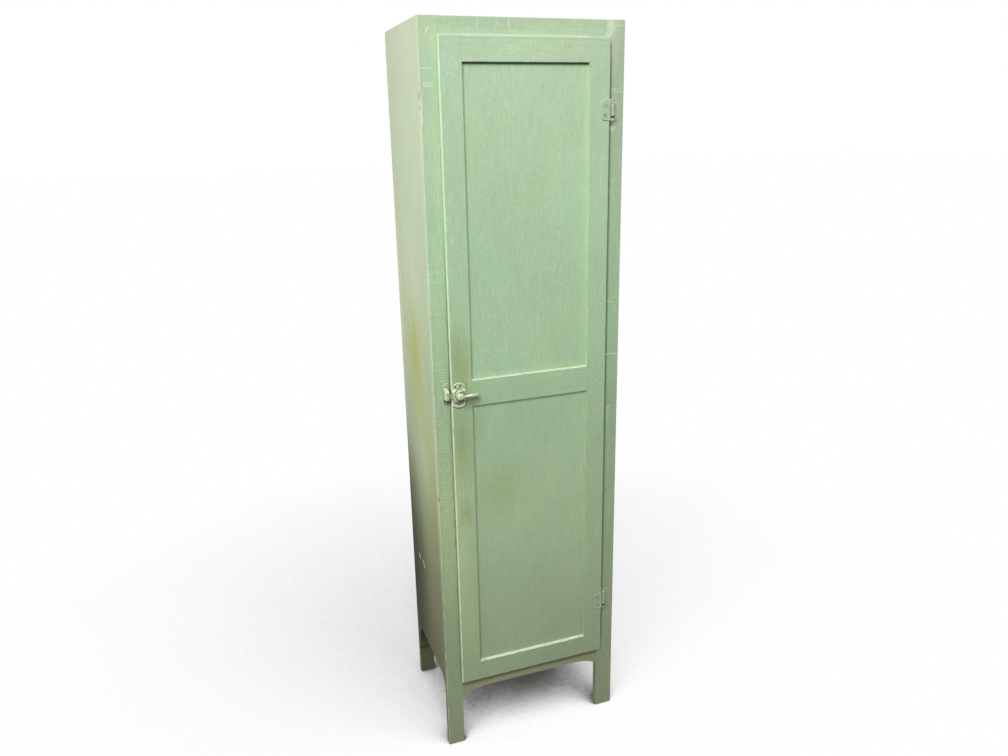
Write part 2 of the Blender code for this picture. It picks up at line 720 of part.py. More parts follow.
def door_leaf():
    """Make a door leaf round its pin: a lobed plate, folded over the door's edge into a knuckle."""
    front = -BARREL_RADIUS
    fold_left = SEAT_GAP - HINGE_OFFSET
    fold_right = fold_left + LEAF_WEB_THICKNESS
    half = MIDDLE_KNUCKLE_HEIGHT / 2 - KNUCKLE_GAP / 2
    outline = lobed_leaf(-HINGE_OFFSET - DOOR_SCREW_INSET, fold_right, -1)
    plate = prism(outline, "y", front, front + LEAF_THICKNESS)
    back = front + LEAF_FOLD_DEPTH
    web = [(fold_left, front), (fold_right, front), (fold_right, back - LEAF_WEB_THICKNESS)]
    web += [(0, back - LEAF_WEB_THICKNESS), (0, back), (fold_left, back)]
    web = prism(web, "z", -half, half)
    inner = half - KNUCKLE_GAP / 4
    return cut(joined(plate, web, knuckle(-inner, inner)), pin_bore())


def frame_leaf():
    """Make a frame leaf round its pin: two end knuckles on a web that stands on the lobed foot."""
    foot_back = FRONT_Y - SEAT_GAP - HINGE_Y
    foot_front = foot_back - FRAME_LEAF_THICKNESS
    web_left = -BARREL_RADIUS
    web_right = web_left + LEAF_THICKNESS
    web_start = BARREL_RADIUS * TANGENT_SHARE
    window = BARREL_RADIUS + KNUCKLE_GAP
    half = LEAF_HEIGHT / 2
    inner = MIDDLE_KNUCKLE_HEIGHT / 2 + KNUCKLE_GAP / 2
    foot = prism(lobed_leaf(FRAME_SCREW_OFFSET, web_left, 1), "y", foot_front, foot_back)
    web_outline = rectangle(web_start, foot_back, -half, half)[1:3]
    web_outline += [(web_start, half), (web_start, inner), (window, inner)]
    web_outline += [(window, -inner), (web_start, -inner), (web_start, -half)]
    web = prism(web_outline, "x", web_left, web_right)
    step = KNUCKLE_GAP / 4
    upper = knuckle(inner + step, half - step)
    lower = knuckle(step - half, -inner - step)
    return cut(joined(foot, web, upper, lower), pin_bore())


def hinge_pin():
    """Make a hinge pin with a domed head beyond each end of the barrel."""
    seat = LEAF_HEIGHT / 2 + SEAT_GAP
    crown = seat + PIN_HEAD_HEIGHT
    half_profile = [
        (PIN_RADIUS, seat),
        (PIN_HEAD_RADIUS, seat),
        (PIN_HEAD_RADIUS, seat + PIN_HEAD_HEIGHT * SHOULDER_SHARE),
        (PIN_HEAD_RADIUS * CROWN_SHARE, crown),
        (0, crown),
    ]
    mirrored = [(radius, -level) for radius, level in reversed(half_profile)]
    return turned(mirrored + half_profile, "z", SCREW_SEGMENTS)


def build_hinges(finish, door_axis):
    """Build the two hinges: a door leaf, a frame leaf and a pin each."""
    for name, level in HINGE_LEVELS.items():
        place = Vector((HINGE_X, HINGE_Y, level))
        holes = {}
        for leaf in ("door", "frame"):
            holes[leaf] = brought(screw_holes(hinge_screw_places(leaf)), place)
        door_mesh = cut(door_leaf(), *holes["door"])
        frame_mesh = cut(frame_leaf(), *holes["frame"])
        add_part(f"{name}_hinge_door_leaf", door_mesh, finish, place, door_axis, smooth=True)
        add_part(f"{name}_hinge_frame_leaf", frame_mesh, finish, place, smooth=True)
        add_part(f"{name}_hinge_pin", hinge_pin(), finish, place, smooth=True)


# Latch


def domed_end(side):
    """Return the outline of the latch flange's upper end, where side is 1, or its lower one."""
    half = LATCH_DOME_WIDTH / 2
    rise = math.sqrt(LATCH_DOME_RADIUS * LATCH_DOME_RADIUS - half * half)
    swing = math.degrees(math.asin(half / LATCH_DOME_RADIUS))
    centre = (0, LATCH_DOME_CORNER_RISE - rise)
    radii = (LATCH_DOME_RADIUS, LATCH_DOME_RADIUS)
    dome = arc(centre, radii, 90 - swing, 90 + swing, ARCH_STEPS)
    return [(x, side * z) for x, z in [(half, 0), *dome, (-half, 0)]]


def latch_case():
    """Make the latch case round the spindle's axis at the door's face, with -Y outwards.

    A flange with domed ends carries a drafted housing, hollow at the back, with a stepped ring round the
    spindle and a slot for the bolt in its left wall.
    """
    seat = -SEAT_GAP
    flange_face = seat - LATCH_FLANGE_THICKNESS
    crown = -LATCH_CASE_DEPTH
    half_width = LATCH_CASE_WIDTH / 2
    half_height = LATCH_CASE_HEIGHT / 2
    foot = rounded_rectangle(half_width, half_height, LATCH_CASE_CORNER)
    head = rounded_rectangle(half_width - LATCH_CASE_DRAFT, half_height - LATCH_CASE_DRAFT, LATCH_CASE_CORNER)
    housing = loft([foot, foot, head], "y", [seat, flange_face, crown])
    ends = [prism(domed_end(side), "y", seat, flange_face) for side in (-1, 1)]
    embed = crown + LATCH_CASE_WALL / 2
    ring = [
        (0, embed),
        (BOSS_OUTER_RADIUS, embed),
        (BOSS_OUTER_RADIUS, crown - BOSS_STEP),
        (BOSS_INNER_RADIUS, crown - BOSS_STEP),
        (BOSS_INNER_RADIUS, crown - 2 * BOSS_STEP),
        (0, crown - 2 * BOSS_STEP),
    ]
    case = joined(housing, *ends, turned(ring, "y", ROUND_SEGMENTS))
    inner_x = half_width - LATCH_CASE_WALL
    inner_z = half_height - LATCH_CASE_WALL
    cavity = block((-inner_x, inner_x), (crown + LATCH_CASE_WALL, OVERRUN), (-inner_z, inner_z))
    slot_half = BOLT_NOSE_HALF_HEIGHT + SEAT_GAP
    slot_depth = -BOLT_BACK_GAP - BOLT_THICKNESS - SEAT_GAP
    slot = block((-half_width - OVERRUN, -inner_x + OVERRUN), (slot_depth, OVERRUN), (-slot_half, slot_half))
    bore = rod(SPINDLE_RADIUS + SEAT_GAP, 2 * crown, OVERRUN, "y", ROUND_SEGMENTS)
    return cut(case, cavity, slot, bore)


def latch_lever():
    """Make the lever round its own axis: crowned hub, spindle and a handle that thickens to a grip."""
    foot = -HUB_FOOT
    crown = foot - HUB_DEPTH
    tip = -BOLT_BACK_GAP - SEAT_GAP
    shoulder = tip - CAM_THICKNESS - SEAT_GAP
    axle = [
        (0, crown - HUB_CROWN),
        (HUB_RADIUS * CROWN_SHARE, crown - HUB_CROWN),
        (HUB_RADIUS, crown),
        (HUB_RADIUS, foot),
        (SPINDLE_RADIUS, foot),
        (SPINDLE_RADIUS, shoulder),
        (SPINDLE_TIP_RADIUS, shoulder),
        (SPINDLE_TIP_RADIUS, tip),
        (0, tip),
    ]
    grip_start = HANDLE_REACH - HANDLE_GRIP_LENGTH
    dome = HANDLE_GRIP_RADIUS * DOME_SHARE
    handle = [
        (0, 0),
        (HANDLE_NECK_RADIUS, 0),
        (HANDLE_NECK_RADIUS, grip_start - HANDLE_NECK_RADIUS),
        (HANDLE_GRIP_RADIUS * GRIP_START_SHARE, grip_start),
        (HANDLE_GRIP_RADIUS, grip_start + HANDLE_GRIP_LENGTH / 2),
        (HANDLE_GRIP_RADIUS, HANDLE_REACH - dome),
        (HANDLE_GRIP_RADIUS * CROWN_SHARE, HANDLE_REACH),
        (0, HANDLE_REACH),
    ]
    bar = moved(turned(handle, "x", SCREW_SEGMENTS), y=-HANDLE_STANDOFF)
    return joined(turned(axle, "y", ROUND_SEGMENTS), bar)


def latch_cam():
    """Make the cam on the spindle's tip: a ring with one round-ended finger that points up."""
    back = -BOLT_BACK_GAP - SEAT_GAP
    front = back - CAM_THICKNESS
    ring = rod(CAM_RADIUS, front, back, "y", ROUND_SEGMENTS)
    finger_tip = arc((0, CAM_ARM), (CAM_TIP_RADIUS, CAM_TIP_RADIUS), 0, 180, ARCH_STEPS)
    finger = prism([(-CAM_TIP_RADIUS, 0), (CAM_TIP_RADIUS, 0)] + finger_tip, "y", front, back)
    bore = rod(SPINDLE_TIP_RADIUS + SEAT_GAP, 2 * front, OVERRUN, "y", ROUND_SEGMENTS)
    return cut(joined(ring, finger), bore)


def latch_bolt():
    """Make the bolt round the spindle's axis: bevelled nose, notched body and the spring's lug."""
    nose = BOLT_NOSE_HALF_HEIGHT
    outline = [
        (-BOLT_NOSE_REACH, -nose),
        (-BOLT_BODY_LEFT, -nose),
        (-BOLT_BODY_LEFT, -SPRING_LUG_FLOOR),
        (-BOLT_BODY_LEFT + SPRING_LUG_WIDTH, -SPRING_LUG_FLOOR),
        (-BOLT_BODY_LEFT + SPRING_LUG_WIDTH, -BOLT_BODY_FLOOR),
        (BOLT_BODY_RIGHT, -BOLT_BODY_FLOOR),
        (BOLT_BODY_RIGHT, BOLT_BODY_TOP),
        (BOLT_LUG_LEFT, BOLT_BODY_TOP),
        (BOLT_LUG_LEFT, BOLT_LUG_FLOOR),
        (BOLT_NOTCH_FLOOR, BOLT_LUG_FLOOR),
        (BOLT_NOTCH_FLOOR, -BOLT_NOTCH_FLOOR),
        (-BOLT_NOTCH_LEFT, -BOLT_NOTCH_FLOOR),
        (-BOLT_NOTCH_LEFT, nose),
        (-BOLT_NOSE_REACH, nose),
    ]
    back = -BOLT_BACK_GAP
    bolt = prism(outline, "y", back - BOLT_THICKNESS, back)
    tip = -BOLT_NOSE_REACH
    bevel = [(tip, back - BOLT_NOSE_BEVEL), (tip + BOLT_NOSE_BEVEL, back)]
    bevel += [(tip + BOLT_NOSE_BEVEL, back + OVERRUN), (tip - OVERRUN, back + OVERRUN)]
    bevel.append((tip - OVERRUN, back - BOLT_NOSE_BEVEL))
    return cut(bolt, prism(bevel, "z", -2 * nose, 2 * nose))


def bolt_spring(finish, axis):
    """Add the coil spring that pushes the bolt out, from the bolt's lug to the case's right wall."""
    start = -BOLT_BODY_LEFT + SPRING_LUG_WIDTH + SEAT_GAP + SPRING_WIRE_RADIUS
    end = LATCH_CASE_WIDTH / 2 - LATCH_CASE_WALL - SEAT_GAP - SPRING_WIRE_RADIUS
    count = SPRING_TURNS * SPRING_POINTS_PER_TURN
    curve = bpy.data.curves.new("bolt_spring", "CURVE")
    curve.dimensions = "3D"
    curve.bevel_depth = SPRING_WIRE_RADIUS
    curve.bevel_resolution = 0
    curve.use_fill_caps = True
    spline = curve.splines.new("POLY")
    spline.points.add(count)
    for index, point in enumerate(spline.points):
        angle = math.tau * index / SPRING_POINTS_PER_TURN
        x = start + (end - start) * index / count
        point.co = (x, SPRING_RADIUS * math.cos(angle), SPRING_RADIUS * math.sin(angle), 1)
    curve.materials.append(finish)
    spring = bpy.data.objects.new("bolt_spring", curve)
    bpy.context.collection.objects.link(spring)
    spring.parent = axis
    middle = DOOR_FACE_Y - BOLT_BACK_GAP - BOLT_THICKNESS / 2
    spring.location = Vector((LATCH_X, middle, DOOR_MID_Z - SPRING_LEVEL)) - world_place(axis)


def latch_strike():
    """Make the strike round its foot's lower left corner line: an eared foot under a sloped hood.

    Its origin is on the face frame at the latch's height, with -Y outwards.
    """
    seat = -SEAT_GAP
    face = seat - STRIKE_FOOT_THICKNESS
    half = STRIKE_FOOT_HEIGHT / 2
    ear = STRIKE_FOOT_WIDTH / 2
    outline = arc((ear, half - ear), (ear, ear), 0, 180, ARCH_STEPS)
    outline += arc((ear, ear - half), (ear, ear), 180, 360, ARCH_STEPS)
    foot = prism(outline, "y", seat, face)
    pocket_front = -DOOR_FACE - BOLT_BACK_GAP - BOLT_THICKNESS - STRIKE_LIP_GAP
    hood_front = pocket_front - STRIKE_LIP
    base = STRIKE_HOOD_BASE_HALF_HEIGHT
    tip = STRIKE_HOOD_TIP_HALF_HEIGHT
    wide = rectangle(0, STRIKE_HOOD_WIDTH, STRIKE_HOOD_RISE - base, STRIKE_HOOD_RISE + base)
    narrow = rectangle(0, STRIKE_HOOD_WIDTH, STRIKE_HOOD_RISE - tip, STRIKE_HOOD_RISE + tip)
    hood = loft([wide, narrow], "y", [seat - STRIKE_FOOT_THICKNESS / 2, hood_front])
    pocket = block(
        (STRIKE_WEB, STRIKE_HOOD_WIDTH + OVERRUN),
        (pocket_front, pocket_front + STRIKE_POCKET_DEPTH),
        (-STRIKE_POCKET_HALF_HEIGHT, STRIKE_POCKET_HALF_HEIGHT),
    )
    return cut(joined(foot, hood), pocket)


def build_latch(iron, worn, steel, door_axis):
    """Build the latch: case, lever, cam, bolt and spring on the door, and the strike on the frame."""
    place = Vector((LATCH_X, DOOR_FACE_Y, DOOR_MID_Z))
    case_holes = brought(screw_holes(latch_screw_places()), place)
    add_part("latch_case", cut(latch_case(), *case_holes), iron, place, door_axis, smooth=True)
    lever_axis = add_axis("lever_axis", place, door_axis)
    add_part("latch_lever", latch_lever(), worn, place, lever_axis, smooth=True)
    add_part("latch_cam", latch_cam(), worn, place, lever_axis, smooth=True)
    bolt_axis = add_axis("bolt_axis", place, door_axis)
    add_part("latch_bolt", latch_bolt(), worn, place, bolt_axis)
    bolt_spring(steel, door_axis)
    strike_place = Vector((STRIKE_X, FRONT_Y, DOOR_MID_Z))
    strike_holes = brought(screw_holes(strike_screw_places()), strike_place)
    add_part("latch_strike", cut(latch_strike(), *strike_holes), iron, strike_place, smooth=True)


def build_cabinet():
    """Build every piece of the cabinet."""
    clear_scene()
    frame_paint = make_finish("frame_paint", PAINT_FRAME)
    door_paint = make_finish("door_paint", PAINT_DOOR)
    side_paint = make_finish("side_paint", PAINT_SIDE)
    bare_wood = make_finish("bare_wood", BARE_WOOD)
    painted_iron = make_finish("painted_iron", PAINTED_IRON)
    worn_iron = make_finish("worn_iron", WORN_IRON)
    spring_steel = make_finish("spring_steel", SPRING_STEEL)
    frame_holes = screw_holes(hinge_screw_places("frame"))
    build_front_frame(frame_paint, frame_holes, screw_holes(strike_screw_places()))
    build_rear_frame(side_paint)
    build_sides(side_paint)
    build_decks(side_paint, bare_wood)
    door_axis = add_axis("door_axis", (HINGE_X, HINGE_Y, DOOR_BOTTOM))
    door_holes = screw_holes(hinge_screw_places("door"))
    build_door(door_paint, door_axis, door_holes, screw_holes(latch_screw_places()))
    build_hinges(painted_iron, door_axis)
    build_latch(painted_iron, worn_iron, spring_steel, door_axis)
    build_screws(painted_iron, door_axis)


build_cabinet()
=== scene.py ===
"""Looks of a tall one-door painted storage cabinet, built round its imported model.

Lengths are in metres. X runs along the front from left to right, Y from the front to the back and Z up.
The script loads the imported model, gives every board its finish, replaces the ironmongery with finer
castings and screws, adds the raised cracks of the old paint, and sets up a plain studio.
"""

from __future__ import annotations

import json
import logging
import math
import random
from dataclasses import dataclass, field, replace
from enum import Enum

import bmesh
import bpy
from mathutils import Matrix, Vector

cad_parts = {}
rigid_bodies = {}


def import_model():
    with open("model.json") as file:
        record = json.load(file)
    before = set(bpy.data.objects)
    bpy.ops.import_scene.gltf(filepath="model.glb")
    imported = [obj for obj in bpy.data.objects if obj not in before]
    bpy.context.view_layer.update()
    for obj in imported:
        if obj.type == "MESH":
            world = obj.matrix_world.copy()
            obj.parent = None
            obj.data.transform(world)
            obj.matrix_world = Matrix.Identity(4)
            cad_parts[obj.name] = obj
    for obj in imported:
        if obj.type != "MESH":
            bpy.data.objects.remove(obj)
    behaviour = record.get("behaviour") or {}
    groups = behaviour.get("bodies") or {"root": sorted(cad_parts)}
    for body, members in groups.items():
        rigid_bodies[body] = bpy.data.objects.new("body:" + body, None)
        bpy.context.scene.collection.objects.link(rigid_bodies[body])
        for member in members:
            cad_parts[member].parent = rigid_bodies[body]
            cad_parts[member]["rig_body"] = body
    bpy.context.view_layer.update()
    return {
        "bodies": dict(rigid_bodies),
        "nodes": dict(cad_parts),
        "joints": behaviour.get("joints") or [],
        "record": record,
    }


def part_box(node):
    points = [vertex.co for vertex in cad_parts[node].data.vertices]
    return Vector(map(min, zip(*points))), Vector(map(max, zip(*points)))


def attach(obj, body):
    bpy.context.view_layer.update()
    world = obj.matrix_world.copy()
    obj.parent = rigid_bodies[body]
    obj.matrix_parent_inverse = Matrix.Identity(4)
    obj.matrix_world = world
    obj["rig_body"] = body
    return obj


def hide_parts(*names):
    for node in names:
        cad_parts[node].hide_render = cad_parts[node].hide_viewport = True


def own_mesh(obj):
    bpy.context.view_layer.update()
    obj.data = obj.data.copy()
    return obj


log = logging.getLogger("cabinet")

Colour = tuple[float, float, float]
Pair = tuple[float, float]
Triple = tuple[float, float, float]
Stops = tuple[tuple[float, Colour], ...]
Material = bpy.types.Material
Mesh = bpy.types.Mesh
Object = bpy.types.Object
Node = bpy.types.Node
Socket = bpy.types.NodeSocket
Number = Socket | float
Value = Socket | float | Colour
Frame = dict[str, object]

MILLIMETRE = 0.001
UPWARD = Vector((0, 0, 1))
OUTWARD = Vector((0, -1, 0))
CABINET_HEIGHT = 1.780
PHOTO_WIDTH = 1008
PHOTO_HEIGHT = 756


class Grain(Enum):
    """The way in which a board's brush strokes run."""

    UPRIGHT = "upright"
    ACROSS = "across"


class Face(Enum):
    """The way in which a board's broad face looks, as the index of that axis."""

    FRONT = 1
    SIDE = 0


class Blend(Enum):
    """How one colour is laid over another."""

    OVER = "MIX"
    TIMES = "MULTIPLY"


OVER = Blend.OVER
TIMES = Blend.TIMES


def shade(red: int, green: int, blue: int) -> Colour:
    """Turn a display colour into the linear colour that a shader takes, by the sRGB curve.

    Args:
        red: Red from 0 to 255.
        green: Green from 0 to 255.
        blue: Blue from 0 to 255.

    Returns:
        The linear colour.
    """
    linear = []
    for value in (red, green, blue):
        part = value / 255
        linear.append(part / 12.92 if part <= 0.04045 else ((part + 0.055) / 1.055) ** 2.4)
    return (linear[0], linear[1], linear[2])


# Finishes


class Graph:
    """A node tree, with a method for each kind of node that finishes and studio share."""

    def __init__(self, tree: bpy.types.NodeTree) -> None:
        """Work on a tree."""
        self.tree = tree

    def fill(self, socket: Socket, value: Value) -> None:
        """Feed a socket from another socket, or set it to a number or colour.

        Args:
            socket: The input to feed.
            value: What it gets.
        """
        if isinstance(value, Socket):
            self.tree.links.new(value, socket)
        elif isinstance(value, tuple) and len(socket.default_value) > len(value):
            socket.default_value = (*value, 1.0)
        else:
            socket.default_value = value

    def node(self, kind: str, inputs: dict[str | int, Value], **settings: object) -> Node:
        """Add a node.

        Args:
            kind: The node's type.
            inputs: What its inputs get, by name or by number.
            **settings: Its other settings.

        Returns:
            The node.
        """
        node = self.tree.nodes.new(kind)
        for name, setting in settings.items():
            setattr(node, name, setting)
        for name, value in inputs.items():
            self.fill(node.inputs[name], value)
        return node

    def maths(self, operation: str, first: Number, second: Number = 0.0) -> Socket:
        """Work out one number from two by an operation such as "ADD"."""
        return self.node("ShaderNodeMath", {0: first, 1: second}, operation=operation).outputs[0]

    def times(self, first: Number, second: Number) -> Socket:
        """Multiply two numbers."""
        return self.maths("MULTIPLY", first, second)

    def spread(
        self, value: Socket, low: float, high: float, start: float = 0.0, end: float = 1.0
    ) -> Socket:
        """Turn a range of numbers softly into another, held at its ends.

        Args:
            value: The number to turn.
            low: Where the range begins.
            high: Where the range ends, which may lie below low.
            start: The result at low.
            end: The result at high.

        Returns:
            The result.
        """
        if low > high:
            low, high, start, end = high, low, end, start
        inputs = {"Value": value, "From Min": low, "From Max": high, "To Min": start, "To Max": end}
        node = self.node("ShaderNodeMapRange", inputs, interpolation_type="SMOOTHSTEP")
        return node.outputs["Result"]


class FinishSheet(Graph):
    """The node graph of one material, with the patterns that the finishes use."""

    def __init__(self, name: str) -> None:
        """Start a material.

        Args:
            name: The material's name.
        """
        self.material = bpy.data.materials.new(name)
        self.material.use_nodes = True
        super().__init__(self.material.node_tree)
        where = self.node("ShaderNodeTexCoord", {}).outputs
        self.place: Socket = where["Object"]
        self.facing: Socket = where["Normal"]

    def give(self, name: str, value: Value) -> None:
        """Feed the shader's input of a name, or set it."""
        self.fill(self.tree.nodes["Principled BSDF"].inputs[name], value)

    def parts(self, vector: Socket) -> tuple[Socket, Socket, Socket]:
        """Split a vector into its X, Y and Z."""
        found = self.node("ShaderNodeSeparateXYZ", {0: vector}).outputs
        return (found[0], found[1], found[2])

    def stretched(self, scale: Triple, shift: float) -> Socket:
        """Return the place on the object, stretched for each axis and shifted."""
        inputs = {"Vector": self.place, "Scale": scale, "Location": (shift, shift * 0.7, shift * 1.3)}
        return self.node("ShaderNodeMapping", inputs).outputs["Vector"]

    def cloud(
        self, scale: Triple, shift: float = 0.0, detail: float = 2.0, rough: float = 0.5
    ) -> Socket:
        """Return a cloudy pattern from 0 to 1.

        Args:
            scale: Clouds for each metre along X, Y and Z.
            shift: What sets this pattern apart from another.
            detail: How many finer layers it has.
            rough: How strong the finer layers are.

        Returns:
            The pattern's value.
        """
        inputs = {"Vector": self.stretched(scale, shift), "Scale": 1.0, "Detail": detail, "Roughness": rough}
        return self.node("ShaderNodeTexNoise", inputs).outputs["Fac"]

    def specks(self, scale: Triple, shift: float, size: float, share: float) -> Socket:
        """Return small round specks, of which only a share of the cells has one.

        Args:
            scale: Cells for each metre along X, Y and Z.
            shift: What sets this pattern apart from another.
            size: A speck's radius as a share of its cell.
            share: The share of cells with a speck.

        Returns:
            1 on a speck and 0 elsewhere.
        """
        cells = {"Vector": self.stretched(scale, shift), "Scale": 1.0}
        found = self.node("ShaderNodeTexVoronoi", cells).outputs
        dot = self.spread(found["Distance"], size, size * 0.6)
        pick = self.parts(found["Color"])[0]
        return self.times(dot, self.spread(pick, 1.0 - share, 1.0 - share + 0.004))

    def blend(self, share: Number, under: Value, over: Value, way: Blend = OVER) -> Socket:
        """Lay one colour over another.

        Args:
            share: How much of the upper colour shows.
            under: The lower colour.
            over: The upper colour.
            way: Whether it covers or multiplies.

        Returns:
            The colour.
        """
        node = self.tree.nodes.new("ShaderNodeMix")
        node.data_type = "RGBA"
        node.blend_type = way.value
        for index, value in ((0, share), (6, under), (7, over)):
            self.fill(node.inputs[index], value)
        return node.outputs[2]

    def stops(self, value: Socket, colours: Stops) -> Socket:
        """Return a colour that runs through stops as a number goes from 0 to 1.

        Args:
            value: The number.
            colours: The stops.

        Returns:
            The colour.
        """
        node = self.node("ShaderNodeValToRGB", {0: value})
        ramp = node.color_ramp
        while len(ramp.elements) < len(colours):
            ramp.elements.new(1.0)
        for element, (place, colour) in zip(ramp.elements, colours):
            element.position = place
            element.color = (*colour, 1.0)
        return node.outputs[0]

    def lighten(self, colour: Socket, pattern: Socket, amount: float) -> Socket:
        """Make a colour lighter and darker by a pattern, by an amount each way."""
        ends = ((0.25, (1.0 - amount,) * 3), (0.75, (1.0 + amount,) * 3))
        return self.blend(1.0, colour, self.stops(pattern, ends), TIMES)

    def patched(self, colour: Socket, patches_and_light: tuple[Patch, ...], face: Face, shift: float) -> Socket:
        """Lay soft patches over a colour.

        Args:
            colour: The colour below.
            patches_and_light: The patches: marks in the paint, painted shade and painted highlights.
            face: The way in which the patches' face looks.
            shift: What sets their ragged borders apart from another finish's.

        Returns:
            The stained colour.
        """
        x, y, z = self.parts(self.place)
        ragged = self.cloud((30.0, 30.0, 14.0), shift + 5.0, 4.0, 0.6)
        for patch in patches_and_light:
            sideways = y if face is Face.SIDE or patch.side else x
            distance = patch.distance(self, sideways, z)
            distance = self.maths("ADD", distance, self.times(ragged, patch.ragged))
            border = patch.edge + patch.ragged / 2
            share = self.spread(distance, border, border - patch.edge * patch.border, 0.0, patch.strength)
            colour = self.blend(share, colour, patch.colour, patch.way)
        return colour

    def relief(self, height: Socket, strength: float, depth: float) -> None:
        """Raise the surface by a pattern.

        Args:
            height: The pattern, from 0 to 1.
            strength: How much of it shows.
            depth: The height of 1, in metres.
        """
        inputs = {"Strength": strength, "Distance": depth, "Height": height}
        self.give("Normal", self.node("ShaderNodeBump", inputs).outputs[0])


@dataclass(frozen=True)
class Patch:
    """A soft patch of another colour on a board; the script uses patches for marks in the paint and for
    painted shade and highlights.

    Attributes:
        across: Its middle along the board's face, in X on a front and in Y on a side.
        level: Its middle's height.
        reach: Half its width and half its height.
        colour: Its colour.
        strength: How much of it shows in the middle.
        way: Whether it multiplies the paint or covers it.
        turn: Its turn on the face, in degrees.
        ragged: How ragged its border is.
        border: How much of it fades, from 0 for a sharp border to 1 for a soft one.
        ring: Half the width of its line as a share of its reach, or 0 where it is filled.
        blunt: How blunt its upper and lower ends are, 1 for an oval.
        side: Whether it lies on a face to the side, whatever the paint's own face.
        edge: Where it has faded out, as a share of its reach.
    """

    across: float
    level: float
    reach: Pair
    colour: Colour
    strength: float
    way: Blend = TIMES
    turn: float = 0.0
    ragged: float = 0.7
    border: float = 1.0
    ring: float = 0.0
    blunt: float = 1.0
    side: bool = False
    edge: float = 1.1

    def distance(self, sheet: FinishSheet, across: Socket, level: Socket) -> Socket:
        """Work out how far a place lies from the middle, with 1 at the reach.

        Args:
            sheet: The material's graph.
            across: The place along the face.
            level: The place's height.

        Returns:
            The distance.
        """
        a = sheet.maths("SUBTRACT", across, self.across)
        b = sheet.maths("SUBTRACT", level, self.level)
        cosine, sine = math.cos(math.radians(self.turn)), math.sin(math.radians(self.turn))
        u = sheet.maths("ADD", sheet.times(a, cosine), sheet.times(b, sine))
        v = sheet.maths("SUBTRACT", sheet.times(b, cosine), sheet.times(a, sine))
        u = sheet.maths("DIVIDE", u, self.reach[0])
        v = sheet.maths("DIVIDE", v, self.reach[1])
        if self.blunt > 1.0:
            v = sheet.maths("POWER", sheet.maths("ABSOLUTE", v), self.blunt)
        distance = sheet.maths("SQRT", sheet.maths("ADD", sheet.times(u, u), sheet.times(v, v)))
        if self.ring > 0.0:
            line = sheet.maths("ABSOLUTE", sheet.maths("SUBTRACT", distance, 1.0))
            distance = sheet.maths("DIVIDE", line, self.ring)
        return distance


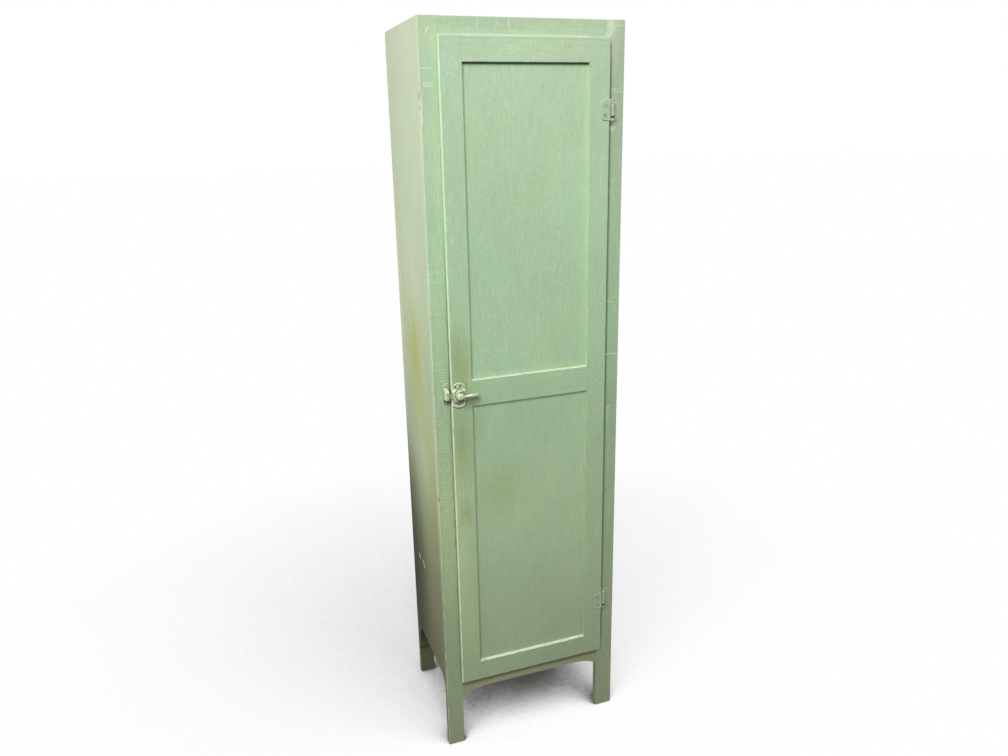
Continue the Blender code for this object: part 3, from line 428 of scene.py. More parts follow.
@dataclass(frozen=True)
class OilPaint:
    """Brushed and aged oil paint on a board.

    Attributes:
        name: The material's name.
        shades: Stops of height, as a share of the cabinet's, with their colours.
        pale: The colour of worn arrises, cracks and chips, and of the painted highlight on the edges that
            catch the light.
        grain: The way of the brush strokes.
        face: The way in which the broad face looks.
        cracks: How much the fine cracks across the strokes show.
        wear: How much of the arrises is worn pale.
        lit_edges: How strong the painted highlight is on the edges to the left and on top, where the light
            falls.
        dashes: How much the short pale brush marks show.
        underside_shade: How dark the painted shade is on the faces that look down.
        flank: The colours of the case's outer sides where a board shows there, as stops.
        lift: How much lighter the paint is than its shades.
        gap: How dark the painted shade is on the back part of a door's edge, where it meets the frame.
        roughness: The paint's mean roughness.
        sheen: The strength of its gloss where no dust lies.
        dust: How much dust dulls its lower part.
        patches_and_light: Its soft patches: marks in the paint, painted shade and painted light.
        skin: Where the skin that takes the patches ends, in X on a side and in Y on a front.
        shift: What sets its patterns apart from another finish's.
    """

    name: str
    shades: Stops
    pale: Colour
    grain: Grain = Grain.UPRIGHT
    face: Face = Face.FRONT
    cracks: float = 0.0
    wear: float = 0.5
    lit_edges: float = 0.0
    dashes: float = 0.22
    underside_shade: float = 0.8
    flank: Stops = ()
    lift: float = 1.0
    gap: float = 0.0
    roughness: float = 0.5
    sheen: float = 0.4
    dust: float = 0.0
    patches_and_light: tuple[Patch, ...] = ()
    skin: float | None = None
    shift: float = 0.0

    def along(self, across: float, length: float) -> Triple:
        """Return a pattern's scale with one value across the strokes and another along them."""
        upright = self.grain is Grain.UPRIGHT
        return (across, across, length) if upright else (length, length, across)

    def ground(self, sheet: FinishSheet, height: Socket) -> Socket:
        """Colour the paint by its height, with broad clouds of lighter, bluer and browner paint.

        Args:
            sheet: The material's graph.
            height: The height above the floor.

        Returns:
            The colour.
        """
        level = sheet.maths("DIVIDE", height, CABINET_HEIGHT)
        colour = sheet.stops(level, self.shades)
        if self.flank:
            outer = sheet.maths("ABSOLUTE", sheet.parts(sheet.place)[0])
            colour = sheet.blend(sheet.spread(outer, *FLANK_START), colour, sheet.stops(level, self.flank))
        colour = sheet.lighten(colour, sheet.cloud((7.0, 7.0, 4.0), self.shift, 5.0, 0.62), 0.06)
        tints = sheet.cloud((11.0, 11.0, 8.0), self.shift + 3.5, 3.0, 0.55)
        tint = sheet.stops(tints, ((0.36, MINT), (0.50, PLAIN), (0.64, MOSS)))
        return sheet.blend(1.0, colour, tint, TIMES)

    def brushed(self, sheet: FinishSheet, colour: Socket, aged: Socket) -> Socket:
        """Add patches of short pale brush marks.

        Args:
            sheet: The material's graph.
            colour: The paint's colour.
            aged: How much the marks of age show at a height.

        Returns:
            The marked colour.
        """
        dashes = sheet.cloud(self.along(380.0, 50.0), self.shift + 6.0, 1.0, 0.5)
        patches = sheet.spread(sheet.cloud((14.0, 14.0, 9.0), self.shift + 7.0, 3.0, 0.6), 0.46, 0.60)
        bright = sheet.times(sheet.times(sheet.spread(dashes, 0.60, 0.68), patches), aged)
        return sheet.blend(sheet.times(bright, self.dashes), colour, self.pale)

    def specked(self, sheet: FinishSheet, colour: Socket, aged: Socket) -> Socket:
        """Add dark specks of dirt and pale specks where paint has come off.

        Args:
            sheet: The material's graph.
            colour: The paint's colour.
            aged: How much the marks of age show at a height.

        Returns:
            The specked colour.
        """
        dark = sheet.specks((38.0, 38.0, 30.0), self.shift + 2.5, 0.055, 0.10)
        colour = sheet.blend(sheet.times(dark, 0.5), colour, SPECK_TINT, TIMES)
        white = sheet.times(sheet.specks((30.0, 30.0, 26.0), self.shift + 7.5, 0.05, 0.07), aged)
        return sheet.blend(sheet.times(white, 0.6), colour, self.pale)

    def worn(self, sheet: FinishSheet, colour: Socket) -> Socket:
        """Make the worn arrises paler, and paint a highlight on the edges that catch the light.

        Args:
            sheet: The material's graph.
            colour: The paint's colour.

        Returns:
            The worn colour.
        """
        normal = sheet.parts(sheet.facing)
        broad = sheet.maths("ABSOLUTE", normal[self.face.value])
        rounded = sheet.times(sheet.spread(broad, 0.06, 0.16), sheet.spread(broad, 0.985, 0.94))
        breaks = sheet.spread(sheet.cloud((45.0, 45.0, 45.0), self.shift + 9.0, 5.0, 0.7), 0.62, 0.42)
        share = sheet.times(sheet.times(rounded, breaks), self.wear)
        colour = sheet.blend(share, colour, self.pale)
        # Painted highlight: the edges that look up, and those that look left (less of it low down), are made
        # paler where the light falls on them.
        if self.lit_edges > 0.0:
            low_down = sheet.spread(sheet.parts(sheet.place)[2], 0.25, 1.50, 0.50, 1.0)
            left = sheet.times(sheet.spread(normal[0], -0.55, -0.85), low_down)
            either = sheet.maths("MAXIMUM", left, sheet.spread(normal[2], 0.55, 0.85))
            patchy = sheet.cloud((60.0, 60.0, 30.0), self.shift + 3.0, 3.0, 0.6)
            either = sheet.times(either, sheet.spread(patchy, 0.25, 0.6, 0.55, 1.0))
            colour = sheet.blend(sheet.times(either, self.lit_edges), colour, self.pale)
        return colour

    def cracked(self, sheet: FinishSheet) -> Socket:
        """Find the fine cracks that run across the strokes.

        Args:
            sheet: The material's graph.

        Returns:
            1 in a crack and 0 elsewhere.
        """
        lines = sheet.cloud(self.along(11.0, 190.0), self.shift + 1.0, 1.0, 0.4)
        ridge = sheet.maths("ABSOLUTE", sheet.maths("SUBTRACT", lines, 0.5))
        line = sheet.spread(ridge, 0.045, 0.010)
        bunches = sheet.spread(sheet.cloud(self.along(16.0, 5.0), self.shift + 2.0, 3.0, 0.6), 0.50, 0.62)
        upper = sheet.spread(sheet.parts(sheet.place)[2], 0.62, 0.80)
        return sheet.times(sheet.times(line, bunches), upper)

    def outer_skin(self, sheet: FinishSheet, skin: float) -> Socket:
        """Show where the paint's skin that takes the patches is.

        Args:
            sheet: The material's graph.
            skin: Where it ends.

        Returns:
            1 on the skin and 0 behind it.
        """
        x, y, _ = sheet.parts(sheet.place)
        behind = skin + 2.0 * MILLIMETRE
        if self.face is Face.FRONT:
            return sheet.spread(y, behind, skin)
        left, forward, _ = sheet.parts(sheet.facing)
        outside = sheet.spread(sheet.maths("MINIMUM", left, forward), -0.2, -0.5)
        return sheet.times(outside, sheet.spread(x, behind, skin))

    def shaded(self, sheet: FinishSheet, colour: Socket) -> Socket:
        """Paint shade on the faces that look down and on the back of the door's edge.

        Args:
            sheet: The material's graph.
            colour: The paint's colour.

        Returns:
            The darkened colour.
        """
        normal = sheet.parts(sheet.facing)
        # Painted shade on the faces that look down.
        down = sheet.spread(normal[2], -0.6, -0.9, 0.0, self.underside_shade)
        colour = sheet.blend(down, colour, UNDERSIDE_SHADE_TINT, TIMES)
        # Painted shade on the back part of the door's edges, where they meet the frame, stronger low down.
        if self.gap > 0.0:
            place = sheet.parts(sheet.place)
            edge = sheet.spread(sheet.maths("ABSOLUTE", normal[1]), 0.7, 0.4)
            deep = sheet.times(edge, sheet.spread(place[1], *DOOR_EDGE_SHADE_DEPTH))
            fade = sheet.spread(place[2], *DOOR_EDGE_SHADE_FADE, 0.35 * self.gap, self.gap)
            colour = sheet.blend(sheet.times(deep, fade), colour, DOOR_EDGE_SHADE_TINT, TIMES)
        return colour

    def material(self) -> Material:
        """Make the paint's material.

        Returns:
            The material.
        """
        sheet = FinishSheet(self.name)
        height = sheet.parts(sheet.place)[2]
        aged = sheet.spread(height, 0.40, 1.00, 0.30, 1.0)
        strokes = sheet.cloud(self.along(330.0, 16.0), self.shift + 4.0, 3.0, 0.65)
        grain = sheet.cloud((210.0, 210.0, 160.0), self.shift + 8.0, 4.0, 0.75)
        colour = sheet.lighten(self.ground(sheet, height), strokes, 0.07)
        colour = sheet.lighten(self.brushed(sheet, colour, aged), grain, 0.10)
        colour = sheet.blend(1.0, colour, (self.lift,) * 3, TIMES)
        patched = sheet.patched(colour, self.patches_and_light, self.face, self.shift)
        if self.skin is not None:
            patched = sheet.blend(self.outer_skin(sheet, self.skin), colour, patched)
        colour = patched
        bumps = sheet.maths("ADD", sheet.times(strokes, 0.5), sheet.times(grain, 0.4))
        if self.cracks > 0.0:
            cracks = self.cracked(sheet)
            colour = sheet.blend(sheet.times(cracks, self.cracks), colour, self.pale)
            bumps = sheet.maths("ADD", bumps, sheet.times(cracks, 0.5))
        colour = self.specked(sheet, self.worn(sheet, colour), aged)
        sheet.give("Base Color", self.shaded(sheet, colour))
        sheet.give("Roughness", sheet.spread(strokes, 0.3, 0.7, self.roughness - 0.06, self.roughness + 0.08))
        sheet.give("Specular IOR Level", self.sheen)
        if self.dust > 0.0:
            dulled = sheet.spread(height, 0.55, 1.05, self.sheen * (1.0 - self.dust), self.sheen)
            sheet.give("Specular IOR Level", dulled)
        sheet.relief(bumps, 0.45, 0.35 * MILLIMETRE)
        return sheet.material


@dataclass(frozen=True)
class BareWood:
    """Unpainted softwood that has darkened, with its grain across.

    Attributes:
        name: The material's name.
        light: The colour between the grain lines.
        dark: The colour of the grain lines.
    """

    name: str
    light: Colour
    dark: Colour

    def material(self) -> Material:
        """Make the wood's material.

        Returns:
            The material.
        """
        sheet = FinishSheet(self.name)
        rings = sheet.cloud((4.0, 70.0, 70.0), 3.0, 4.0, 0.55)
        lines = sheet.maths("PINGPONG", sheet.times(rings, 9.0), 1.0)
        colour = sheet.blend(sheet.spread(lines, 0.15, 0.95, 0.0, 0.8), self.light, self.dark)
        pores = sheet.cloud((22.0, 900.0, 900.0), 6.0, 2.0, 0.6)
        colour = sheet.lighten(colour, pores, 0.16)
        colour = sheet.lighten(colour, sheet.cloud((5.0, 5.0, 5.0), 1.0, 3.0, 0.6), 0.12)
        sheet.give("Base Color", colour)
        sheet.give("Roughness", sheet.spread(pores, 0.3, 0.7, 0.62, 0.8))
        sheet.relief(sheet.maths("ADD", pores, sheet.times(lines, 0.4)), 0.4, 0.2 * MILLIMETRE)
        return sheet.material


@dataclass(frozen=True)
class PaintedIron:
    """Cast iron or steel under layers of paint, rubbed through on its raised parts, with painted shade and
    painted highlights.

    Attributes:
        name: The material's name.
        paint: The paint's colour.
        pale: The colour of an older coat that shows on its worn, raised parts.
        dirt_and_shade: The colour of dirt in blotches, and of the painted shade in the hollows and on the
            faces that look down.
        crown: The colour of the rubbed arrises, and of the painted highlight on the faces that look up and on
            the edges that catch the light.
        wear_and_highlight: How much of the arrises is rubbed, and how strong the painted highlight on the
            faces that look up is.
        bare: How much of the surface is rubbed down to metal.
        lit: How strong the painted highlight is on the edges to the left and on top, even in hollows.
        blotches: How much dirt lies in blotches on its faces.
        patches_and_light: Its patches, in X and height, among them painted shade and highlights.
        shift: What sets its patterns apart from another finish's.
    """

    name: str
    paint: Colour
    pale: Colour
    dirt_and_shade: Colour
    crown: Colour
    wear_and_highlight: float
    bare: float
    lit: float
    blotches: float
    patches_and_light: tuple[Patch, ...] = ()
    shift: float = 0.0

    def material(self) -> Material:
        """Make the painted metal's material.

        Returns:
            The material.
        """
        sheet = FinishSheet(self.name)
        coats = sheet.cloud((220.0,) * 3, self.shift, 4.0, 0.6)
        colour = sheet.blend(sheet.spread(coats, 0.42, 0.62), self.paint, self.pale)
        spots = sheet.cloud((520.0,) * 3, self.shift + 2.0, 3.0, 0.7)
        colour = sheet.blend(sheet.spread(spots, 0.56, 0.68, 0.0, self.blotches), colour, self.dirt_and_shade)
        colour = sheet.lighten(colour, sheet.cloud((1500.0,) * 3, self.shift + 1.0, 2.0, 0.7), 0.08)
        leftward, _, upward = sheet.parts(sheet.facing)
        # Painted highlight on the faces that look up, and painted shade on those that look down.
        colour = sheet.blend(sheet.spread(upward, 0.25, 0.75, 0.0, self.wear_and_highlight * 0.8), colour, self.crown)
        colour = sheet.blend(sheet.spread(upward, -0.15, -0.65, 0.0, 0.85), colour, self.dirt_and_shade)
        # Paler on the convex parts, partly wear and partly painted highlight.
        bend = sheet.node("ShaderNodeNewGeometry", {}).outputs["Pointiness"]
        colour = sheet.blend(sheet.spread(bend, 0.515, 0.56, 0.0, self.wear_and_highlight), colour, self.crown)
        # Painted shade in the hollows, found by ambient occlusion, and on the concave parts.
        near = {"Distance": 4.0 * MILLIMETRE}
        hollow = sheet.node("ShaderNodeAmbientOcclusion", near, samples=6).outputs["AO"]
        colour = sheet.blend(sheet.spread(hollow, 0.88, 0.42, 0.0, 0.95), colour, self.dirt_and_shade)
        colour = sheet.blend(sheet.spread(bend, 0.49, 0.455, 0.0, 0.8), colour, self.dirt_and_shade)
        # Painted highlight on the edges that look to the left or up.
        edges = (sheet.spread(leftward, -0.45, -0.80), sheet.spread(upward, 0.35, 0.75))
        edge = sheet.maths("MAXIMUM", edges[0], edges[1])
        colour = sheet.blend(sheet.times(edge, self.lit), colour, self.crown)
        sheet.give("Base Color", sheet.patched(colour, self.patches_and_light, Face.FRONT, self.shift))
        if self.bare > 0.0:
            rubbed = sheet.cloud((300.0,) * 3, self.shift + 4.0, 3.0, 0.6)
            sheet.give("Metallic", sheet.spread(rubbed, 0.50, 0.60, 0.0, self.bare))
        sheet.give("Roughness", sheet.spread(coats, 0.3, 0.7, 0.34, 0.52))
        sheet.relief(sheet.maths("ADD", coats, sheet.times(spots, 0.5)), 0.35, 0.25 * MILLIMETRE)
        return sheet.material


@dataclass(frozen=True)
class SpringWire:
    """Drawn steel wire, dulled by age."""

    name: str
    colour: Colour
    dull: Colour

    def material(self) -> Material:
        """Make the wire's material.

        Returns:
            The material.
        """
        sheet = FinishSheet(self.name)
        drawn = sheet.cloud((3000.0,) * 3, 0.0, 2.0, 0.5)
        sheet.give("Base Color", sheet.blend(drawn, self.colour, self.dull))
        sheet.give("Metallic", 1.0)
        sheet.give("Roughness", sheet.spread(drawn, 0.2, 0.8, 0.28, 0.5))
        return sheet.material


@dataclass(frozen=True)
class RaisedPaint:
    """The pale lips of cracked paint and the chips that show an older coat."""

    name: str
    colour: Colour
    under: Colour

    def material(self) -> Material:
        """Make the raised paint's material.

        Returns:
            The material.
        """
        sheet = FinishSheet(self.name)
        flecks = sheet.cloud((400.0,) * 3, 2.0, 3.0, 0.6)
        sheet.give("Base Color", sheet.blend(sheet.spread(flecks, 0.45, 0.65), self.colour, self.under))
        sheet.give("Roughness", 0.5)
        sheet.relief(flecks, 0.3, 0.1 * MILLIMETRE)
        return sheet.material


# The colours of the cabinet

PALE = shade(232, 246, 220)
SAGE = (
    (0.0, shade(131, 143, 114)),
    (0.10, shade(136, 151, 120)),
    (0.17, shade(141, 158, 126)),
    (0.34, shade(151, 172, 137)),
    (0.50, shade(157, 182, 147)),
    (0.59, shade(164, 193, 156)),
    (0.76, shade(174, 202, 166)),
    (0.93, shade(181, 207, 172)),
    (1.0, shade(187, 210, 176)),
)
OLIVE = (
    (0.0, shade(88, 88, 64)),
    (0.12, shade(98, 97, 72)),
    (0.25, shade(118, 124, 92)),
    (0.35, shade(141, 152, 113)),
    (0.45, shade(165, 178, 142)),
    (0.60, shade(176, 192, 156)),
    (0.85, shade(196, 211, 177)),
    (1.0, shade(200, 210, 180)),
)
OCHRE = (0.95, 0.91, 0.55)
GREASE = (0.84, 0.80, 0.66)
# The darkening of the side's lower rear, partly dirt and partly painted shade.
LOW_REAR_DIRT_AND_SHADE = (0.33, 0.33, 0.31)
MINT = (0.982, 1.008, 1.012)
PLAIN = (1.0, 1.0, 1.0)
MOSS = (1.008, 1.0, 0.972)
# The near-black green of the painted shadows in the panels' recesses.
RECESS_SHADE = (0.045, 0.072, 0.036)
FLANK_START = (0.2330, 0.2337)
# Painted shade on the back of a door's edge: the depths in Y over which it comes in, and the heights over
# which it grows to full strength downward.
DOOR_EDGE_SHADE_DEPTH = (-0.1530, -0.1490)
DOOR_EDGE_SHADE_FADE = (1.45, 1.10)

SPECK_TINT = (0.35, 0.33, 0.26)
# Painted shade: the tints on the faces that look down and on the back of a door's edge.
UNDERSIDE_SHADE_TINT = (0.30, 0.31, 0.28)
DOOR_EDGE_SHADE_TINT = (0.20, 0.22, 0.18)
JADE = (0.88, 1.05, 1.08)
SCRATCH = shade(240, 243, 232)
LATCH_STAINS_AND_SHADE = (
    Patch(-0.178, 1.050, (0.034, 0.110), GREASE, 1.0),
    Patch(-0.178, 0.850, (0.036, 0.160), GREASE, 1.0),
    Patch(-0.172, 0.665, (0.030, 0.060), GREASE, 0.8),
    # Painted shadow: dark outlines on the door round the lower and upper ends of the latch case.
    Patch(-0.1795, 0.9585, (0.0190, 0.0192), (0.14, 0.17, 0.10), 0.75, OVER, 0.0, 0.3, 0.7, 0.09),
    Patch(-0.1795, 0.9860, (0.0190, 0.0188), (0.20, 0.25, 0.15), 0.50, OVER, 0.0, 0.3, 0.7, 0.07),
    Patch(-0.190, 0.550, (0.060, 0.480), (1.23, 1.17, 1.11), 1.0),
    Patch(-0.190, 1.660, (0.012, 0.050), JADE, 0.7),
    Patch(-0.190, 1.350, (0.010, 0.060), JADE, 0.8),
    Patch(0.182, 1.360, (0.010, 0.050), JADE, 0.8),
    Patch(-0.1700, 0.6710, (0.0085, 0.0018), (0.45, 0.42, 0.34), 0.7, TIMES, 15.0, 0.6),
)
LATCH_DIRT_AND_SHADOWS = (
    Patch(-0.160, 0.995, (0.052, 0.085), (1.01, 0.95, 0.88), 1.0),
    # On the door: a dark patch below the latch case, partly dirt and partly painted shadow, then the painted
    # shadow under the lever at rest and to the right of its grip.
    Patch(-0.150, 0.950, (0.034, 0.022), (0.60, 0.58, 0.48), 1.0),
    Patch(-0.1490, 0.9655, (0.0160, 0.0030), (0.45, 0.46, 0.34), 0.9),
    Patch(-0.1290, 0.9630, (0.0024, 0.0075), (0.60, 0.62, 0.50), 0.9, TIMES, 0.0, 0.3),
)
DOOR_TOP = (
    # Along the door's top edge: a pale line, partly wear and partly a painted highlight on the arris, and a
    # thin darker line below it.
    Patch(0.0, 1.7430, (9.0, 0.0036), shade(216, 238, 206), 0.80, OVER, 0.0, 0.4, 0.6),
    Patch(0.0, 1.7362, (9.0, 0.0014), (0.84, 0.86, 0.82), 0.9, TIMES, 0.0, 0.3),
)
PANEL_STAINS_AND_SHADE = (
    Patch(0.0435, 1.0886, (0.0024, 0.0022), (1.30, 1.28, 1.30), 0.9, TIMES, 0.0, 0.3),
    Patch(0.0, 0.570, (9.0, 0.520), (1.08, 1.08, 1.08), 1.0),
    Patch(-0.080, 0.715, (0.090, 0.110), (0.93, 0.89, 0.74), 0.9),
    Patch(-0.140, 0.900, (0.040, 0.070), GREASE, 0.5),
    Patch(-0.060, 1.250, (0.030, 0.050), JADE, 0.7),
    Patch(-0.120, 1.330, (0.020, 0.040), JADE, 0.6),
    Patch(0.090, 1.0065, (0.028, 0.0045), (1.0, 0.84, 0.62), 0.9),
    Patch(0.0365, 1.6440, (0.0012, 0.0050), (0.45, 0.45, 0.36), 0.8, TIMES, 0.0, 0.3),
    Patch(0.0717, 1.3360, (0.0012, 0.0060), (0.45, 0.45, 0.36), 0.8, TIMES, -8.0, 0.3),
    Patch(0.0300, 1.3240, (0.0022, 0.0014), (0.50, 0.50, 0.38), 0.8, TIMES, 0.0, 0.3),
    Patch(0.0772, 0.8638, (0.0018, 0.0018), (0.45, 0.45, 0.36), 0.7, TIMES, 0.0, 0.3),
    Patch(0.0086, 0.4600, (0.0012, 0.0058), (0.40, 0.40, 0.30), 0.9, TIMES, -28.0, 0.3),
    # Painted shadows in the recesses: under the top rail along the upper panel, under the mid rail along the
    # lower panel, and down the panels' left edges beside the lock stile.
    Patch(0.0, 1.6905, (9.0, 0.0042), RECESS_SHADE, 0.92, OVER, 0.0, 0.05, 0.35),
    Patch(0.0, 0.9410, (9.0, 0.0021), RECESS_SHADE, 0.60, OVER, 0.0, 0.05, 0.6),
    Patch(-0.1480, 1.0, (0.0026, 99.0), RECESS_SHADE, 0.55, OVER, 0.0, 0.05, 0.8),
)
SIDE_STAINS_AND_SHADE = (
    Patch(0.035, 1.030, (0.085, 0.150), OCHRE, 1.0),
    Patch(0.030, 1.020, (0.050, 0.110), (0.97, 0.95, 0.78), 1.0),
    Patch(0.000, 0.890, (0.115, 0.140), OCHRE, 0.9),
    Patch(-0.075, 0.790, (0.075, 0.140), OCHRE, 0.7),
    # Darker towards the lower rear, partly dirt and partly painted shade.
    Patch(0.200, 0.350, (0.236, 0.780), (0.50, 0.51, 0.49), 1.0, TIMES, 0.0, 0.25),
    Patch(0.200, 1.550, (0.236, 0.900), (0.88, 0.86, 0.84), 1.0),
    Patch(0.183, 1.060, (0.060, 0.440), (1.26, 1.22, 1.24), 1.0),
    Patch(0.050, 1.220, (0.200, 0.180), (1.08, 1.07, 1.06), 1.0),
    Patch(0.015, 1.030, (0.120, 0.170), (0.97, 0.92, 0.66), 1.0),
    Patch(-0.120, 1.010, (0.060, 0.170), (0.89, 0.94, 0.86), 1.0),
    Patch(-0.010, 0.730, (0.130, 0.160), (1.15, 1.14, 1.16), 1.0),
    Patch(-0.100, 0.350, (0.080, 0.300), (1.08, 1.05, 1.06), 1.0),
    # Darker towards the lower rear, partly dirt and partly painted shade.
    Patch(0.200, 0.330, (0.270, 0.330), (0.58, 0.60, 0.46), 1.0, TIMES, 0.0, 0.25),
    Patch(0.130, 0.640, (0.060, 0.130), (0.80, 0.85, 0.80), 1.0),
    Patch(0.170, 0.060, (0.090, 0.120), (2.60, 2.64, 2.90), 0.9),
    Patch(0.150, 0.084, (0.100, 0.0045), (0.55, 0.57, 0.48), 0.9, TIMES, 0.0, 0.2, 0.5),
    # Darker still at the lower rear, partly dirt and partly painted shade.
    Patch(0.185, 0.480, (0.050, 0.380), LOW_REAR_DIRT_AND_SHADE, 0.80, TIMES, 0.0, 0.25),
    Patch(0.150, 0.380, (0.150, 0.360), LOW_REAR_DIRT_AND_SHADE, 0.68, TIMES, 0.0, 0.25),
    Patch(0.120, 0.080, (0.240, 0.200), LOW_REAR_DIRT_AND_SHADE, 0.42, TIMES, 0.0, 0.25),
    Patch(0.095, 1.668, (0.0050, 0.0035), (0.70, 0.72, 0.60), 0.8, TIMES, 0.0, 0.5),
    Patch(0.1004, 0.4255, (0.0150, 0.0028), SCRATCH, 1.0, OVER, 33.0, 0.3, 0.6),
    Patch(0.0570, 0.4250, (0.0170, 0.0028), SCRATCH, 1.0, OVER, 33.0, 0.3, 0.6),
)
STILE_EDGE = (
    Patch(-0.210, 0.620, (9.0, 0.330), (1.24, 1.14, 1.06), 1.0),
    Patch(-0.210, 0.050, (9.0, 0.200), (1.08, 1.07, 1.08), 1.0),
    Patch(-0.2330, 1.6260, (0.0026, 0.0120), (0.62, 0.58, 0.48), 0.9, TIMES, 0.0, 0.6),
    Patch(-0.2330, 1.6000, (0.0020, 0.0100), (0.70, 0.64, 0.52), 0.7, TIMES, 0.0, 0.6),
    Patch(-0.2325, 0.7080, (0.0030, 0.0100), (0.45, 0.40, 0.32), 0.9, TIMES, 0.0, 0.6),
    Patch(-0.2300, 0.6850, (0.0020, 0.0080), (0.50, 0.45, 0.36), 0.8, TIMES, 0.0, 0.6),
)
RIGHT_STAINS_AND_LIGHT = (
    # Painted shadow of the door on the right stile: a dark line beside the door's edge, and a deeper one at
    # its top.
    Patch(0.1965, 0.969, (0.0085, 0.772), (0.50, 0.52, 0.46), 1.0, TIMES, 0.0, 0.15, 0.5, blunt=20.0),
    Patch(0.1990, 1.7335, (0.0034, 0.0120), (0.40, 0.42, 0.34), 1.0, TIMES, 0.0, 0.15, 0.6, blunt=4.0),
    Patch(0.21, 1.640, (9.0, 0.330), (0.98, 0.91, 0.93), 1.0, TIMES, 0.0, 0.3),
    Patch(0.2170, 0.380, (0.0300, 0.2000), (1.04, 0.97, 0.96), 1.0),
    # Painted light: a lighter patch under the upper hinge, where the hinge's shadow falls on the stile.
    Patch(0.2070, 1.5560, (0.0100, 0.0120), (1.90, 1.90, 1.90), 1.0),
)
CASE_STAINS_AND_SHADE = (
    # Painted shade on the case: in its screw recesses and the groove round the boss, under the hub, in its
    # lower end and along its lower outline, with a darker left side and a paler patch between the upper
    # recesses.
    Patch(-0.1895, 0.9942, (0.0046, 0.0030), (0.06, 0.08, 0.04), 0.90, OVER, 10.0, 0.6, 0.7),
    Patch(-0.1768, 0.9954, (0.0048, 0.0030), (0.05, 0.07, 0.035), 0.95, OVER, 20.0, 0.6, 0.7),
    Patch(-0.1834, 0.9944, (0.0022, 0.0040), (0.62, 0.72, 0.52), 0.7, OVER, 0.0, 0.5, 0.7),
    Patch(-0.1800, 0.9760, (0.0114, 0.0116), (0.06, 0.08, 0.04), 0.75, OVER, 0.0, 0.5, 0.7, 0.11),
    Patch(-0.1755, 0.9817, (0.0062, 0.0015), (0.06, 0.08, 0.04), 0.85, OVER, -7.0, 0.5, 0.7),
    Patch(-0.1773, 0.9622, (0.0128, 0.0036), (0.04, 0.05, 0.025), 0.95, OVER, -8.0, 0.4, 0.6),
    Patch(-0.1805, 0.9540, (0.0130, 0.0052), (0.34, 0.35, 0.26), 1.0, TIMES, 0.0, 0.5, 0.6),
    Patch(-0.1795, 0.9425, (0.0160, 0.0024), (0.14, 0.18, 0.10), 0.75, OVER, 0.0, 0.4, 0.6),
    Patch(-0.1950, 0.9620, (0.0026, 0.0120), (0.70, 0.72, 0.64), 1.0, TIMES, 0.0, 0.3, 0.6),
)
LEVER_STAINS_AND_LIGHT = (
    Patch(-0.1450, 0.9722, (0.0125, 0.0200), (0.66, 0.72, 0.62), 1.0, TIMES, 0.0, 0.2, 0.5),
    # Painted shade under the hub, where the neck meets it and along the undersides of the neck and the grip,
    # and a painted highlight along the top of the neck.
    Patch(-0.1780, 0.9668, (0.0060, 0.0022), (0.09, 0.11, 0.06), 0.7, OVER, -10.0, 0.3, 0.7),
    Patch(-0.1682, 0.9722, (0.0012, 0.0060), (0.12, 0.14, 0.08), 0.7, OVER, 0.0, 0.3, 0.7),
    Patch(-0.1735, 0.9690, (0.0070, 0.0060), (0.85, 0.86, 0.84), 1.0, TIMES, 0.0, 0.5),
    Patch(-0.1600, 0.9696, (0.0100, 0.0016), (0.32, 0.34, 0.28), 0.9, TIMES, 0.0, 0.4, 0.7),
    Patch(-0.1465, 0.9674, (0.0115, 0.0024), (0.32, 0.34, 0.26), 0.9, TIMES, 0.0, 0.4, 0.7),
    Patch(-0.1625, 0.9745, (0.0065, 0.0018), (1.35, 1.32, 1.38), 0.9, TIMES, 0.0, 0.4, 0.7),
)
STRIKE_STAINS_AND_SHADE = (
    # Painted shadow under the hood and over the lower ear, and in the gap beside the hood's right edge; a
    # dark strip on the hood's left side and a darker upper ear.
    Patch(-0.2040, 0.9580, (0.0180, 0.0044), (0.03, 0.06, 0.02), 0.98, OVER, 0.0, 0.5, 0.6),
    Patch(-0.2050, 0.9505, (0.0130, 0.0100), (0.07, 0.12, 0.05), 0.85, OVER, 0.0, 0.5, 0.6),
    Patch(-0.2032, 0.9700, (0.0024, 0.0130), (0.32, 0.36, 0.26), 1.0, TIMES, 0.0, 0.3, 0.6),
    Patch(
        -0.1470, 0.9715, (0.0034, 0.0115), (0.08, 0.12, 0.06), 0.85, OVER, 0.0, 0.3, 0.6,
        blunt=2.0, side=True,
    ),
    Patch(-0.2035, 0.9900, (0.0120, 0.0050), (0.75, 0.80, 0.70), 0.5, TIMES, 0.0, 0.4),
)
APRON_STAINS_AND_SHADOW = (
    # Painted shadow of the door across the top of the apron.
    Patch(0.0, 0.190, (9.0, 0.022), (0.36, 0.35, 0.24), 1.0, TIMES, 0.0, 0.15, 0.55),
    Patch(0.0, 0.165, (9.0, 0.070), (0.98, 0.86, 0.82), 1.0, TIMES, 0.0, 0.3),
)


# Forms


